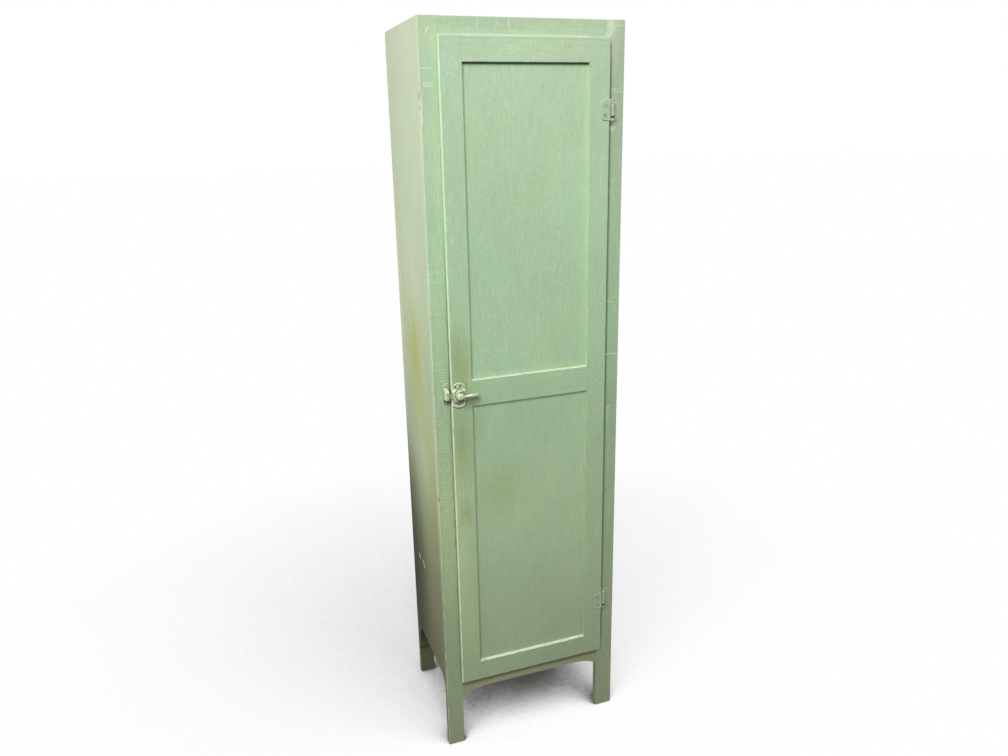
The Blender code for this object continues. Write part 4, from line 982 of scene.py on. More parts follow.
class Form:
    """A mesh in the making, in the cabinet's own places."""

    def __init__(self) -> None:
        """Start with nothing."""
        self.shape = bmesh.new()

    def skin(self, rings: list[list[Vector]]) -> None:
        """Join closed rings of points into a solid with flat ends.

        Args:
            rings: Rings of equal length, in order.
        """
        rows = [[self.shape.verts.new(point) for point in ring] for ring in rings]
        faces = [self.shape.faces.new(rows[0]), self.shape.faces.new(rows[-1])]
        for near, far in zip(rows, rows[1:]):
            for index, corner in enumerate(near):
                after = (index + 1) % len(near)
                faces.append(self.shape.faces.new((corner, near[after], far[after], far[index])))
        bmesh.ops.recalc_face_normals(self.shape, faces=faces)

    def plate(self, outline: list[Pair], place: Vector, start: float, end: float) -> None:
        """Add a plate whose outline lies across Y.

        Args:
            outline: The outline's pairs along X and Z, from the place.
            place: The outline's origin.
            start: Where its front lies along Y, from the place.
            end: Where its back lies along Y, from the place.
        """
        self.skin([[place + Vector((a, level, b)) for a, b in outline] for level in (start, end)])

    def turned(self, profile: list[Pair], place: Vector, way: Vector, sides: int = 48) -> None:
        """Add a turned solid.

        Args:
            profile: Pairs of radius and distance along the axis, neither on the axis.
            place: Where the axis begins.
            way: The axis's direction.
            sides: How many sides it has.
        """
        turn = UPWARD.rotation_difference(way).to_matrix()
        rings = []
        for radius, along in profile:
            ring = []
            for step in range(sides):
                angle = math.tau * step / sides
                spoke = Vector((radius * math.cos(angle), radius * math.sin(angle), along))
                ring.append(place + turn @ spoke)
            rings.append(ring)
        self.skin(rings)

    def box(self, low: Vector, high: Vector) -> None:
        """Add a plain block between two corners."""
        outline = [(low.x, low.z), (high.x, low.z), (high.x, high.z), (low.x, high.z)]
        self.plate(outline, Vector(), low.y, high.y)

    def mesh(self, name: str) -> Mesh:
        """Finish the form.

        Args:
            name: The mesh's name.

        Returns:
            The mesh, shaded smooth.
        """
        mesh = bpy.data.meshes.new(name)
        self.shape.to_mesh(mesh)
        self.shape.free()
        mesh.shade_smooth()
        return mesh


def oval(centre: Pair, radii: Pair, start: float, end: float, steps: int) -> list[Pair]:
    """Return points along an oval's arc.

    Args:
        centre: The oval's middle.
        radii: Its half width and half height.
        start: The first angle in degrees.
        end: The last angle in degrees.
        steps: How many steps lie between them.

    Returns:
        The points.
    """
    points = []
    for step in range(steps + 1):
        angle = math.radians(start + (end - start) * step / steps)
        points.append((centre[0] + radii[0] * math.cos(angle), centre[1] + radii[1] * math.sin(angle)))
    return points


def placed(name: str, data: bpy.types.ID) -> Object:
    """Put an object into the scene.

    Args:
        name: The object's name.
        data: Its mesh, lamp or camera.

    Returns:
        The object.
    """
    thing = bpy.data.objects.new(name, data)
    bpy.context.scene.collection.objects.link(thing)
    return thing


def settled(thing: Object) -> Mesh:
    """Apply a work object's modifiers, and take the object away.

    Args:
        thing: The work object.

    Returns:
        Its mesh with the modifiers applied.
    """
    graph = bpy.context.evaluated_depsgraph_get()
    mesh = bpy.data.meshes.new_from_object(thing.evaluated_get(graph))
    bpy.data.objects.remove(thing, do_unlink=True)
    return mesh


def cut_out(mesh: Mesh, cutter: Mesh) -> Mesh:
    """Cut one mesh out of another.

    Args:
        mesh: What is cut.
        cutter: What cuts it.

    Returns:
        What is left.
    """
    work, tool = placed("work", mesh), placed("cutter", cutter)
    modifier = work.modifiers.new("cut", "BOOLEAN")
    modifier.operation = "DIFFERENCE"
    modifier.solver = "EXACT"
    modifier.object = tool
    left = settled(work)
    bpy.data.objects.remove(tool, do_unlink=True)
    left.shade_smooth()
    return left


def cast(mesh: Mesh, grit: float, rounds: int) -> Mesh:
    """Fuse overlapping solids into one skin with softly filled corners, as a painted casting has.

    Args:
        mesh: The solids.
        grit: The size of the skin's faces.
        rounds: How often the skin is smoothed.

    Returns:
        The casting's mesh.
    """
    thing = placed("work", mesh)
    fuse = thing.modifiers.new("fuse", "REMESH")
    fuse.mode = "VOXEL"
    fuse.voxel_size = grit
    fuse.use_smooth_shade = True
    soften = thing.modifiers.new("soften", "SMOOTH")
    soften.factor = 0.5
    soften.iterations = rounds
    skin = settled(thing)
    skin.shade_smooth()
    return skin


def add_piece(name: str, mesh: Mesh, finish: Material, body: str) -> Object:
    """Add a finished piece to the cabinet.

    Args:
        name: The piece's name.
        mesh: Its mesh, in the cabinet's places.
        finish: Its material.
        body: The body that it moves with.

    Returns:
        The piece.
    """
    piece = placed(name, mesh)
    mesh.name = name
    mesh.materials.clear()
    mesh.materials.append(finish)
    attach(piece, body)
    log.info("%s: %d faces on %s", name, len(mesh.polygons), body)
    return piece


@dataclass(frozen=True)
class Joinery:
    """How a set of boards is finished.

    Attributes:
        finish: Their material.
        slot: The record's material slot, which is not used.
        arris: The width of a softened arris.
        joints: Places along X where boards meet flush, whose arrises stay sharp.
        sharp: The least angle between faces that makes an arris.
        nearness: How near to a joint an arris counts as part of it.
        weld: The distance within which corners are joined.
    """

    finish: Material
    slot: str
    arris: float
    joints: tuple[float, ...] = ()
    sharp: float = math.radians(40)
    nearness: float = 0.6 * MILLIMETRE
    weld: float = 0.01 * MILLIMETRE

    def softness(self, edge: bmesh.types.BMEdge) -> float:
        """Work out how much of the arris's full width an edge gets.

        Args:
            edge: The edge.

        Returns:
            1 on an arris and 0 on any other edge.
        """
        if len(edge.link_faces) != 2 or edge.calc_face_angle(0.0) < self.sharp:
            return 0.0
        for place in self.joints:
            if all(abs(end.co.x - place) < self.nearness for end in edge.verts):
                return 0.0
        return 1.0

    def soften(self, mesh: Mesh) -> Mesh:
        """Round the weighted arrises of a board.

        Args:
            mesh: The board's mesh.

        Returns:
            The rounded mesh.
        """
        work = placed("work", mesh)
        soften = work.modifiers.new("soften", "BEVEL")
        soften.width = self.arris
        soften.segments = 3
        soften.limit_method = "WEIGHT"
        work.modifiers.new("even", "WEIGHTED_NORMAL").keep_sharp = True
        return settled(work)

    def plane(self, frame: Frame, names: list[str]) -> None:
        """Make finished boards in the place of the model's plain ones.

        Args:
            frame: The loaded model.
            names: The boards' nodes.
        """
        for name in names:
            node = frame["nodes"][name]
            shape = bmesh.new()
            shape.from_mesh(node.data)
            bmesh.ops.remove_doubles(shape, verts=shape.verts, dist=self.weld)
            flat = math.radians(1)
            bmesh.ops.dissolve_limit(shape, angle_limit=flat, verts=shape.verts, edges=shape.edges)
            weights = shape.edges.layers.float.new("bevel_weight_edge")
            for face in shape.faces:
                face.smooth = True
            for edge in shape.edges:
                edge[weights] = self.softness(edge)
                edge.smooth = edge[weights] > 0.0 or edge.calc_face_angle(0.0) < self.sharp
            mesh = bpy.data.meshes.new(name)
            shape.to_mesh(mesh)
            shape.free()
            planed = self.soften(mesh)
            piece = add_piece(f"{name}_planed", planed, self.finish, node["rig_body"])
            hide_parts(name)


# Sub-assemblies


@dataclass
class PaintRidge:
    """A raised line of cracked paint on a flat face.

    Attributes:
        path: Points along it as pairs of X and height.
        width: Its width.
        height: How far it stands proud.
        step: The length of a step along it.
        wander: How far it wanders to a side, as a share of its width.
        sunk: How far its foot lies below the face.
    """

    path: tuple[Pair, ...]
    width: float = 0.0012
    height: float = 0.00025
    step: float = 0.0022
    wander: float = 0.22
    sunk: float = 0.05 * MILLIMETRE

    def points(self, chance: random.Random) -> list[Vector]:
        """Divide the path into short steps that wander a little.

        Args:
            chance: Where the wander comes from.

        Returns:
            The points.
        """
        found = []
        for (a, b), (c, d) in zip(self.path, self.path[1:]):
            along = Vector((c - a, d - b)).normalized()
            count = max(2, int(math.dist((a, b), (c, d)) / self.step))
            for index in range(count):
                share = index / count
                drift = chance.uniform(-1, 1) * self.width * self.wander
                sideways = a + (c - a) * share - along.y * drift
                found.append(Vector((sideways, b + (d - b) * share + along.x * drift)))
        found.append(Vector(self.path[-1]))
        return found

    def add_to(self, form: Form, plane: Matrix, chance: random.Random) -> None:
        """Add the ridge's solid to a form.

        Args:
            form: The form to add to.
            plane: Takes (along, up, out) from the flat face into the cabinet's places.
            chance: Where its small irregularities come from.
        """
        points = self.points(chance)
        rings = []
        for index, point in enumerate(points):
            before = points[max(0, index - 1)]
            after = points[min(len(points) - 1, index + 1)]
            along = (after - before).normalized()
            across = Vector((-along.y, along.x))
            taper = min(1.0, 0.25 + min(index, len(points) - 1 - index) * 0.5)
            half = self.width / 2 * taper * chance.uniform(0.7, 1.2)
            proud = self.height * taper * chance.uniform(0.7, 1.15)
            corners = []
            for side, out in ((-1.0, -self.sunk), (-0.55, proud), (0.55, proud), (1.0, -self.sunk)):
                spot = point + across * half * side
                corners.append(plane @ Vector((spot.x, spot.y, out)))
            rings.append(corners)
        form.skin(rings)


def front_plane(level: float) -> Matrix:
    """Return the matrix that lays (x, z, out) on a face that looks to the front at a Y level."""
    return Matrix(((1, 0, 0, 0), (0, 0, -1, level), (0, 1, 0, 0), (0, 0, 0, 1)))


@dataclass
class FaceFrame:
    """The front frame: two stiles that run down as legs, the top rail and the arched apron."""

    frame: Frame
    arris: float = 0.0011
    ridges: tuple[PaintRidge, ...] = (
        PaintRidge(((-0.2310, 1.6783), (-0.2040, 1.6785)), 0.0028, 0.0003),
        PaintRidge(
            ((-0.2318, 1.6290), (-0.2306, 1.6120), (-0.2318, 1.5925), (-0.2306, 1.5775), (-0.2316, 1.5625)),
            0.0024, 0.0003,
        ),
        PaintRidge(((-0.2276, 1.6487), (-0.2064, 1.6490)), 0.0024, 0.0003),
        PaintRidge(((-0.2278, 1.6441), (-0.2066, 1.6445)), 0.0024, 0.0003),
        PaintRidge(((-0.2098, 1.7591), (-0.2143, 1.7515), (-0.2175, 1.7415)), 0.0030),
        PaintRidge(((-0.1066, 1.7775), (-0.1072, 1.7570)), 0.0018),
        PaintRidge(((-0.0374, 1.7790), (-0.0378, 1.7550)), 0.0018),
        PaintRidge(((-0.0653, 1.7770), (-0.0659, 1.7550)), 0.0010),
        PaintRidge(((0.2008, 1.7530), (0.2061, 1.7548), (0.2101, 1.7660), (0.2284, 1.7688)), 0.0026),
        PaintRidge(((0.2020, 1.6358), (0.2310, 1.6357)), 0.0016),
        PaintRidge(((0.2022, 1.6303), (0.2315, 1.6299)), 0.0016),
        PaintRidge(((0.1955, 1.0222), (0.2325, 1.0205)), 0.0018),
        PaintRidge(((0.1991, 1.1542), (0.2178, 1.1500)), 0.0012),
        PaintRidge(((0.2156, 1.1305), (0.2291, 1.1255)), 0.0012),
        PaintRidge(((0.2070, 0.8884), (0.2073, 0.8431)), 0.0013),
        PaintRidge(((0.2043, 0.8861), (0.2210, 0.8825)), 0.0010),
    )
    bunched: tuple[tuple[float, float, int], ...] = (
        (1.430, 1.500, 7), (1.270, 1.350, 5), (1.000, 1.200, 26), (0.780, 0.915, 17), (0.640, 0.760, 8),
    )
    stile_left: float = -0.2315
    stile_right: float = -0.2005
    fine_width: float = 0.0011
    fine_height: float = 0.00012

    def bunches(self, chance: random.Random) -> list[PaintRidge]:
        """Return the many short cracks that lie across the left stile.

        Args:
            chance: Where their places come from.

        Returns:
            The cracks.
        """
        found = []
        for low, high, count in self.bunched:
            for index in range(count):
                level = low + (high - low) * (index + chance.uniform(0.1, 0.9)) / count
                start = self.stile_left + chance.random() ** 2 * 0.012
                end = min(self.stile_right, start + chance.uniform(0.010, 0.032))
                path = ((start, level), (end, level + chance.uniform(-0.0022, 0.0008)))
                found.append(PaintRidge(path, self.fine_width, self.fine_height))
        return found

    def build(
        self, left: OilPaint, right: OilPaint, rails: OilPaint, lips: RaisedPaint, fine: RaisedPaint
    ) -> None:
        """Finish the frame's boards and add their cracked paint.

        Args:
            left: The left stile's paint.
            right: The right stile's paint.
            rails: The rails' paint.
            lips: The wide cracks' paint.
            fine: The fine cracks' paint.
        """
        joints = (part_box("front_left_stile")[1].x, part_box("front_right_stile")[0].x)
        slot = "frame_paint"
        # The apron's arrises wear a browner pale, and its faces that look down get a lighter painted shade.
        worn = {"pale": shade(206, 202, 176), "wear": 1.0, "underside_shade": 0.5}
        apron = replace(rails, name="apron_paint", patches_and_light=APRON_STAINS_AND_SHADOW, shift=19.0, **worn)
        paints = {"front_left_stile": left, "front_right_stile": right, "top_rail": rails, "apron": apron}
        for board, paint in paints.items():
            Joinery(paint.material(), slot, self.arris, joints).plane(self.frame, [board])
        chance = random.Random(31)
        face = front_plane(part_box("front_left_stile")[0].y)
        bunches = self.bunches(chance)
        cracks = (("frame_paint_cracks", self.ridges, lips), ("frame_fine_cracks", bunches, fine))
        for name, ridges, paint in cracks:
            form = Form()
            for ridge in ridges:
                ridge.add_to(form, face, chance)
            add_piece(name, form.mesh(name), paint.material(), "cabinet")


@dataclass
class Case:
    """The case behind the frame: sides, top, bottom, rear frame, back, shelves and cleats."""

    frame: Frame
    arris: float = 0.0010

    def build(self, paint: OilPaint, wood: BareWood) -> None:
        """Finish the case's boards.

        Args:
            paint: The sides' paint.
            wood: The inner boards' wood.
        """
        outside = ["left_side_panel", "right_side_panel", "rear_left_leg", "rear_right_leg"]
        outside += ["rear_top_rail", "rear_bottom_rail", "back_panel", "top_panel"]
        Joinery(paint.material(), "side_paint", self.arris).plane(self.frame, outside)
        inside = [name for name in self.frame["nodes"] if name.startswith(("shelf_", "bottom_"))]
        Joinery(wood.material(), "bare_wood", self.arris).plane(self.frame, sorted(inside))


@dataclass
class Door:
    """The framed door with its two flat panels."""

    frame: Frame
    arris: float = 0.0013
    panel_arris: float = 0.0013 / 3
    chips: tuple[PaintRidge, ...] = (
        PaintRidge(((0.1110, 1.7420), (0.1150, 1.7400), (0.1200, 1.7422)), 0.0040, 0.0004),
        PaintRidge(((-0.1785, 1.7305), (-0.1765, 1.7300)), 0.0035, 0.0003),
        PaintRidge(((0.1405, 1.7325), (0.1428, 1.7345), (0.1455, 1.7322)), 0.0022, 0.0003),
    )

    def build(self, stiles: OilPaint, rails: OilPaint, panels: OilPaint, lips: RaisedPaint) -> None:
        """Finish the door's boards and add the chips at its top.

        Args:
            stiles: The stiles' paint.
            rails: The rails' paint.
            panels: The panels' paint.
            lips: The chips' paint.
        """
        joints = (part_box("door_lock_stile")[1].x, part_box("door_hinge_stile")[0].x)
        slot = "door_paint"
        uprights = ["door_lock_stile", "door_hinge_stile"]
        Joinery(stiles.material(), slot, self.arris, joints).plane(self.frame, uprights)
        long_rails = ["door_top_rail", "door_mid_rail", "door_bottom_rail"]
        Joinery(rails.material(), slot, self.arris, joints).plane(self.frame, long_rails)
        flat = ["door_upper_panel", "door_lower_panel"]
        Joinery(panels.material(), slot, self.panel_arris).plane(self.frame, flat)
        form = Form()
        chance = random.Random(8)
        face = front_plane(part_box("door_lock_stile")[0].y)
        for chip in self.chips:
            chip.add_to(form, face, chance)
        add_piece("door_paint_chips", form.mesh("door_paint_chips"), lips.material(), "door")


@dataclass
class ScrewSet:
    """Round-headed slotted screws under paint."""

    head_radius: float = 0.0031
    head_height: float = 0.0014
    shank_radius: float = 0.0016
    length: float = 0.0145
    slot_width: float = 0.0008
    slot_depth: float = 0.0007
    point_radius: float = 0.0002
    point_length: float = 0.002
    sunk_end: float = 0.009
    rim: float = 0.0002
    lift: float = 0.0003
    flatness: float = 0.85
    steps: int = 8

    def head(self, chance: random.Random) -> Mesh:
        """Make a screw round the origin, pointing along +Y, with its slot turned by chance.

        Args:
            chance: Where the slot's turn comes from.

        Returns:
            The mesh.
        """
        form = Form()
        dome = self.head_height * self.flatness
        shank = self.shank_radius
        profile = [(self.point_radius, self.length), (shank * 0.5, self.length - self.point_length)]
        profile += [(shank, self.sunk_end), (shank, -self.rim), (self.head_radius, -self.rim)]
        for step in range(1, self.steps):
            angle = math.radians(90 * step / self.steps)
            profile.append((self.head_radius * math.cos(angle), -self.lift - dome * math.sin(angle)))
        form.turned(profile, Vector(), Vector((0, 1, 0)), 32)
        slot = Form()
        turn = chance.uniform(0, math.pi)
        cosine, sine = math.cos(turn), math.sin(turn)
        half = self.slot_width / 2
        reach = self.head_radius * 1.2
        corners = [(-reach, -half), (reach, -half), (reach, half), (-reach, half)]
        outline = [(a * cosine - b * sine, a * sine + b * cosine) for a, b in corners]
        top = -self.lift - dome
        slot.plate(outline, Vector(), top - self.slot_depth, top + self.slot_depth)
        return cut_out(form.mesh("screw"), slot.mesh("slot"))

    def build(self, nodes: list[str], finish: Material, body: str, seed: int) -> None:
        """Build one screw for each node.

        Args:
            nodes: The screws' nodes.
            finish: Their material.
            body: The body that they hold in.
            seed: What sets their slots.
        """
        chance = random.Random(seed)
        for node in nodes:
            low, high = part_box(node)
            middle = (low + high) / 2
            mesh = self.head(chance)
            mesh.transform(Matrix.Translation((middle.x, high.y - self.length, middle.z)))
            piece = add_piece(f"{node}_head", mesh, finish, body)
            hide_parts(node)


@dataclass
class SurfaceHinge:
    """One surface hinge: a door leaf, a frame leaf and a pin, all painted over."""

    name: str
    finish: Material
    leaf_height: float = 0.045
    leaf_thickness: float = 0.0018
    foot_thickness: float = 0.0013
    lobe_spacing: float = 0.0214
    waist: float = 0.0016
    barrel_radius: float = 0.0040
    middle_height: float = 0.0280
    gap: float = 0.0005
    fold: float = 0.0068
    fold_depth: float = 0.0040
    web_thickness: float = 0.0014
    knuckle_edge: float = 0.0004
    pin_radius: float = 0.0017
    pin_head_radius: float = 0.0031
    pin_clearance: float = 0.0003
    pin_dome: tuple[float, ...] = (0.0, 0.35, 0.7, 1.05, 1.35)
    grit: float = 0.00032
    smoothing: int = 3
    place: Vector = field(default_factory=Vector)

    def lobes(self, screw: float, near: float, side: int) -> list[Pair]:
        """Return a leaf's outline, straight at the barrel and double-lobed at its free edge.

        Args:
            screw: Where the screws are, along X from the pin.
            near: The straight edge's place.
            side: -1 to the left of the barrel and 1 to the right.

        Returns:
            The outline.
        """
        half = self.leaf_height / 2
        radius = half - self.lobe_spacing / 2
        turn = math.degrees(math.acos(1 - self.waist / radius))
        low = oval((0, -self.lobe_spacing / 2), (radius, radius), 270, 360 + turn, 20)
        high = [(x, -z) for x, z in reversed(low)]
        return [(near, -half)] + [(screw + side * x, z) for x, z in low + high] + [(near, half)]

    def knuckle(self, form: Form, low: float, high: float) -> None:
        """Add a knuckle of the barrel.

        Args:
            form: The form to add to.
            low: Its lower end, from the hinge's middle.
            high: Its upper end, from the hinge's middle.
        """
        edge = self.knuckle_edge
        radius = self.barrel_radius
        profile = [(radius - edge, low), (radius, low + edge), (radius, high - edge), (radius - edge, high)]
        form.turned(profile, self.place, UPWARD)

    def door_leaf(self) -> None:
        """Build the leaf on the door with its long middle knuckle."""
        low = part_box(f"{self.name}_hinge_door_leaf")[0]
        screw = low.x - self.place.x + self.leaf_height / 2 - self.lobe_spacing / 2
        form = Form()
        front = low.y - self.place.y
        edge = -self.fold
        form.plate(self.lobes(screw, edge, -1), self.place, front, front + self.leaf_thickness)
        half = self.middle_height / 2
        back = front + self.fold_depth
        outer = edge - self.web_thickness
        leg = [(outer, -half), (edge, -half), (edge, half), (outer, half)]
        form.plate(leg, self.place, front, back)
        web = [(outer, -half), (0, -half), (0, half), (outer, half)]
        form.plate(web, self.place, back - self.web_thickness, back)
        self.knuckle(form, -half, half)
        mesh = cast(form.mesh("leaf"), self.grit, self.smoothing)
        name = f"{self.name}_hinge_painted_door_leaf"
        piece = add_piece(name, mesh, self.finish, "door")
        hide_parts(f"{self.name}_hinge_door_leaf")

    def frame_leaf(self) -> None:
        """Build the leaf on the frame with its two end knuckles."""
        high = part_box(f"{self.name}_hinge_frame_leaf")[1]
        reach = self.leaf_height / 2 - self.lobe_spacing / 2
        form = Form()
        back = high.y - self.place.y
        left = -self.barrel_radius
        outline = self.lobes(high.x - self.place.x - reach, left, 1)
        form.plate(outline, self.place, back - self.foot_thickness, back)
        half = self.leaf_height / 2
        inner = self.middle_height / 2 + self.gap
        for side in (-1, 1):
            ends = sorted((side * inner, side * half))
            form.box(
                self.place + Vector((left, 0, ends[0])),
                self.place + Vector((left + self.leaf_thickness, back, ends[1])),
            )
            self.knuckle(form, *ends)
        form.box(
            self.place + Vector((left, self.barrel_radius + self.gap, -half)),
            self.place + Vector((left + self.leaf_thickness, back, half)),
        )
        mesh = cast(form.mesh("leaf"), self.grit, self.smoothing)
        name = f"{self.name}_hinge_painted_frame_leaf"
        piece = add_piece(name, mesh, self.finish, "cabinet")
        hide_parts(f"{self.name}_hinge_frame_leaf")

    def pin(self) -> None:
        """Build the pin with a domed head at each end."""
        low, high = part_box(f"{self.name}_hinge_pin")
        half = (high.z - low.z) / 2
        head = half - self.leaf_height / 2 - self.pin_clearance
        upper = [(self.pin_radius, half - head)]
        for angle in self.pin_dome:
            upper.append((self.pin_head_radius * math.cos(angle), half - head + head * math.sin(angle)))
        lower = [(r, -z) for r, z in reversed(upper)]
        form = Form()
        form.turned(lower + upper, self.place, UPWARD, 32)
        name = f"{self.name}_hinge_domed_pin"
        piece = add_piece(name, form.mesh("pin"), self.finish, "cabinet")
        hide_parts(f"{self.name}_hinge_pin")

    def build(self) -> None:
        """Build the hinge's three pieces."""
        low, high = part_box(f"{self.name}_hinge_pin")
        self.place = (low + high) / 2
        self.door_leaf()
        self.frame_leaf()
        self.pin()


@dataclass
class LeverLatch:
    """The lever latch on the door's edge and its strike on the frame."""

    iron: Material
    # A paler copy of the iron for the beads on the case's ends, painted as the highlight on them.
    rim: Material
    keeper: Material
    worn: Material
    dull: Material
    wire: Material
    # The case with its rings, its beads and the slot for the bolt
    width: float = 0.032
    height: float = 0.030
    depth: float = 0.0095
    draft: float = 0.0016
    corner: float = 0.0045
    wall: float = 0.0022
    flange: float = 0.0028
    crown_width: float = 0.028
    crown_rise: float = 0.0235
    crown_radius: float = 0.0175
    lower_rim: float = 0.91
    ring: float = 0.0125
    inner_ring: float = 0.0095
    ring_step: float = 0.0012
    ring_edge: float = 0.0003
    groove: float = 0.0008
    groove_edges: Triple = (0.0004, 0.0009, 0.0005)
    seat: float = 0.0003
    bead_inset: float = 0.0011
    bead_half_width: float = 0.0010
    bead_rise: float = 0.0009
    bolt_slot: Pair = (0.0054, 0.0053)
    overcut: float = 0.002
    # The lever with its spindle and grip
    hub_radius: float = 0.0078
    hub_depth: float = 0.0070
    spindle_radius: float = 0.0031
    stub_radius: float = 0.0020
    stub: Triple = (0.0009, 0.0046, 0.0048)
    crowning: tuple[Pair, ...] = (
        (1.0, -0.0012), (0.9, -0.0003), (0.72, 0.0004), (0.45, 0.0009), (0.2, 0.0010)
    )
    reach: float = 0.0415
    neck_radius: float = 0.0034
    grip_radius: float = 0.0054
    grip_length: float = 0.0175
    swelling: tuple[Pair, ...] = ((0.86, 0.0004), (0.97, 0.0055), (1.0, 0.010))
    rounding: tuple[Pair, ...] = ((0.96, -0.0022), (0.80, -0.0007), (0.45, 0.0))
    # The spring
    turns: int = 9
    wire_radius: float = 0.0003
    coil_radius: float = 0.0015
    wire_sides: int = 10
    steps_a_turn: int = 24
    travel: float = 0.00707
    # The strike with its hood and pocket
    strike_foot: float = 0.0022
    hood_width: float = 0.0076
    hood_rise: float = 0.0020
    hood_foot: float = 0.0140
    hood_levels: Pair = (0.0011, 0.0040)
    hood_edge: float = 0.0005
    hood_head: Pair = (0.0098, 0.0095)
    pocket_start: Pair = (0.0018, 0.0025)
    pocket_end: Pair = (0.012, 0.0165)
    pocket_half: float = 0.0066
    # All of it
    bolt_arris: float = 0.0003
    grit: float = 0.00034
    smoothing: int = 3
    place: Vector = field(default_factory=Vector)

    def rounded(self, half_width: float, half_height: float, corner: float) -> list[Pair]:
        """Return a rectangle's outline with round corners.

        Args:
            half_width: Half its width.
            half_height: Half its height.
            corner: Its corners' radius.

        Returns:
            The outline.
        """
        across, up = half_width - corner, half_height - corner
        points = []
        for side, level, start in ((1, 1, 0), (-1, 1, 90), (-1, -1, 180), (1, -1, 270)):
            points += oval((side * across, level * up), (corner, corner), start, start + 90, 8)
        return points

    def crown(self, side: int, inset: float) -> list[Pair]:
        """Return the outline of the case's domed upper or lower end.

        Args:
            side: 1 for the upper end and -1 for the lower one.
            inset: How far the outline is drawn in.

        Returns:
            The outline.
        """
        half = self.crown_width / 2 - inset
        radius = self.crown_radius - inset
        swing = math.degrees(math.asin(half / radius))
        heart = self.crown_rise - math.sqrt(radius * radius - half * half)
        dome = oval((0, heart), (radius, radius), 90 - swing, 90 + swing, 24)
        outline = [(half, 0.0), *dome, (-half, 0.0)]
        return [(a, side * b) for a, b in outline]

    def case(self) -> None:
        """Build the domed and drafted case with its stepped rings, hollow at the back."""
        form = Form()
        half_width, half_height = self.width / 2, self.height / 2
        foot = self.rounded(half_width, half_height, self.corner)
        head = self.rounded(half_width - self.draft, half_height - self.draft, self.corner)
        levels = ((foot, -self.seat), (foot, -self.flange), (head, -self.depth))
        form.skin([[self.place + Vector((a, y, b)) for a, b in outline] for outline, y in levels])
        rims = Form()
        for side in (-1, 1):
            form.plate(self.crown(side, 0.0), self.place, -self.seat - self.flange, -self.seat)
            sunk = 1.0 if side > 0 else self.lower_rim
            path = [(a, b * sunk) for a, b in self.crown(side, self.bead_inset)[1:-1]]
            self.bead(rims, path, self.flange + self.seat)
        add_piece("latch_case_rims", rims.mesh("rims"), self.rim, "door")
        form.turned(self.rings(), self.place, OUTWARD)
        inner = Form()
        deep = self.depth - self.wall
        inner.box(
            self.place + Vector((self.wall - half_width, -deep, self.wall - half_height)),
            self.place + Vector((half_width - self.wall, self.overcut, half_height - self.wall)),
        )
        slot = Form()
        slot_deep, slot_half = self.bolt_slot
        slot.box(
            self.place + Vector((-half_width - self.overcut, -slot_deep, -slot_half)),
            self.place + Vector((self.overcut - half_width + self.wall, self.overcut, slot_half)),
        )
        solid = cast(form.mesh("case"), self.grit, self.smoothing)
        hollow = cut_out(cut_out(solid, inner.mesh("hollow")), slot.mesh("slot"))
        piece = add_piece("latch_cast_case", hollow, self.iron, "door")
        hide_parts("latch_case")

    def rings(self) -> list[Pair]:
        """Work out the profile of the two stepped rings on the case.

        Returns:
            Pairs of radius and distance from the door.
        """
        edge, inner = self.ring_edge, self.inner_ring
        lower, upper = self.depth + self.ring_step, self.depth + 2 * self.ring_step
        profile = [(self.ring, self.depth - self.ring_step), (self.ring, lower - edge)]
        outside, brink, bed = self.groove_edges
        profile += [(self.ring - outside, lower), (inner + brink, lower)]
        profile += [(inner + bed, lower - self.groove), (inner, lower - self.groove)]
        profile += [(inner, upper - edge), (inner - edge, upper), (self.spindle_radius, upper)]
        return profile

    def bead(self, form: Form, path: list[Pair], level: float) -> None:
        """Add a low round bead along a path on the case's flange.

        Args:
            form: The form to add to.
            path: The bead's middle, from the latch's middle.
            level: How far the flange's face stands from the door.
        """
        rings = []
        for index, (a, b) in enumerate(path):
            before = Vector(path[max(0, index - 1)])
            along = (Vector(path[min(len(path) - 1, index + 1)]) - before).normalized()
            away = Vector((along.y, -along.x))
            ring = []
            for step in range(8):
                angle = math.tau * step / 8
                sideways = away * math.cos(angle) * self.bead_half_width
                out = -level - self.bead_rise * math.sin(angle)
                ring.append(self.place + Vector((a + sideways.x, out, b + sideways.y)))
            rings.append(ring)
        form.skin(rings)

    def lever(self) -> None:
        """Build the lever: a crowned hub on its spindle, and a neck that thickens to a grip."""
        form = Form()
        foot = self.depth + 2 * self.ring_step + self.seat
        crown = foot + self.hub_depth
        radius, spindle, stub = self.hub_radius, self.spindle_radius, self.stub_radius
        inmost, narrow, wide = self.stub
        profile = [(stub, inmost), (stub, narrow), (spindle, wide), (spindle, foot), (radius, foot)]
        profile += [(radius * share, crown + rise) for share, rise in self.crowning]
        form.turned(profile, self.place, OUTWARD)
        start, end = self.reach - self.grip_length, self.reach
        neck, grip = self.neck_radius, self.grip_radius
        bar = [(neck * 1.3, 0.0), (neck * 1.05, radius + 0.001), (neck, radius + 0.004)]
        bar += [(neck * 1.05, start - 0.0012)]
        bar += [(grip * share, start + along) for share, along in self.swelling]
        bar += [(grip * share, end + along) for share, along in self.rounding]
        middle = self.place + OUTWARD * (foot + self.hub_depth / 2)
        form.turned(bar, middle, Vector((1, 0, 0)))
        mesh = cast(form.mesh("lever"), self.grit, self.smoothing)
        piece = add_piece("latch_turned_lever", mesh, self.worn, "lever")
        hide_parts("latch_lever")

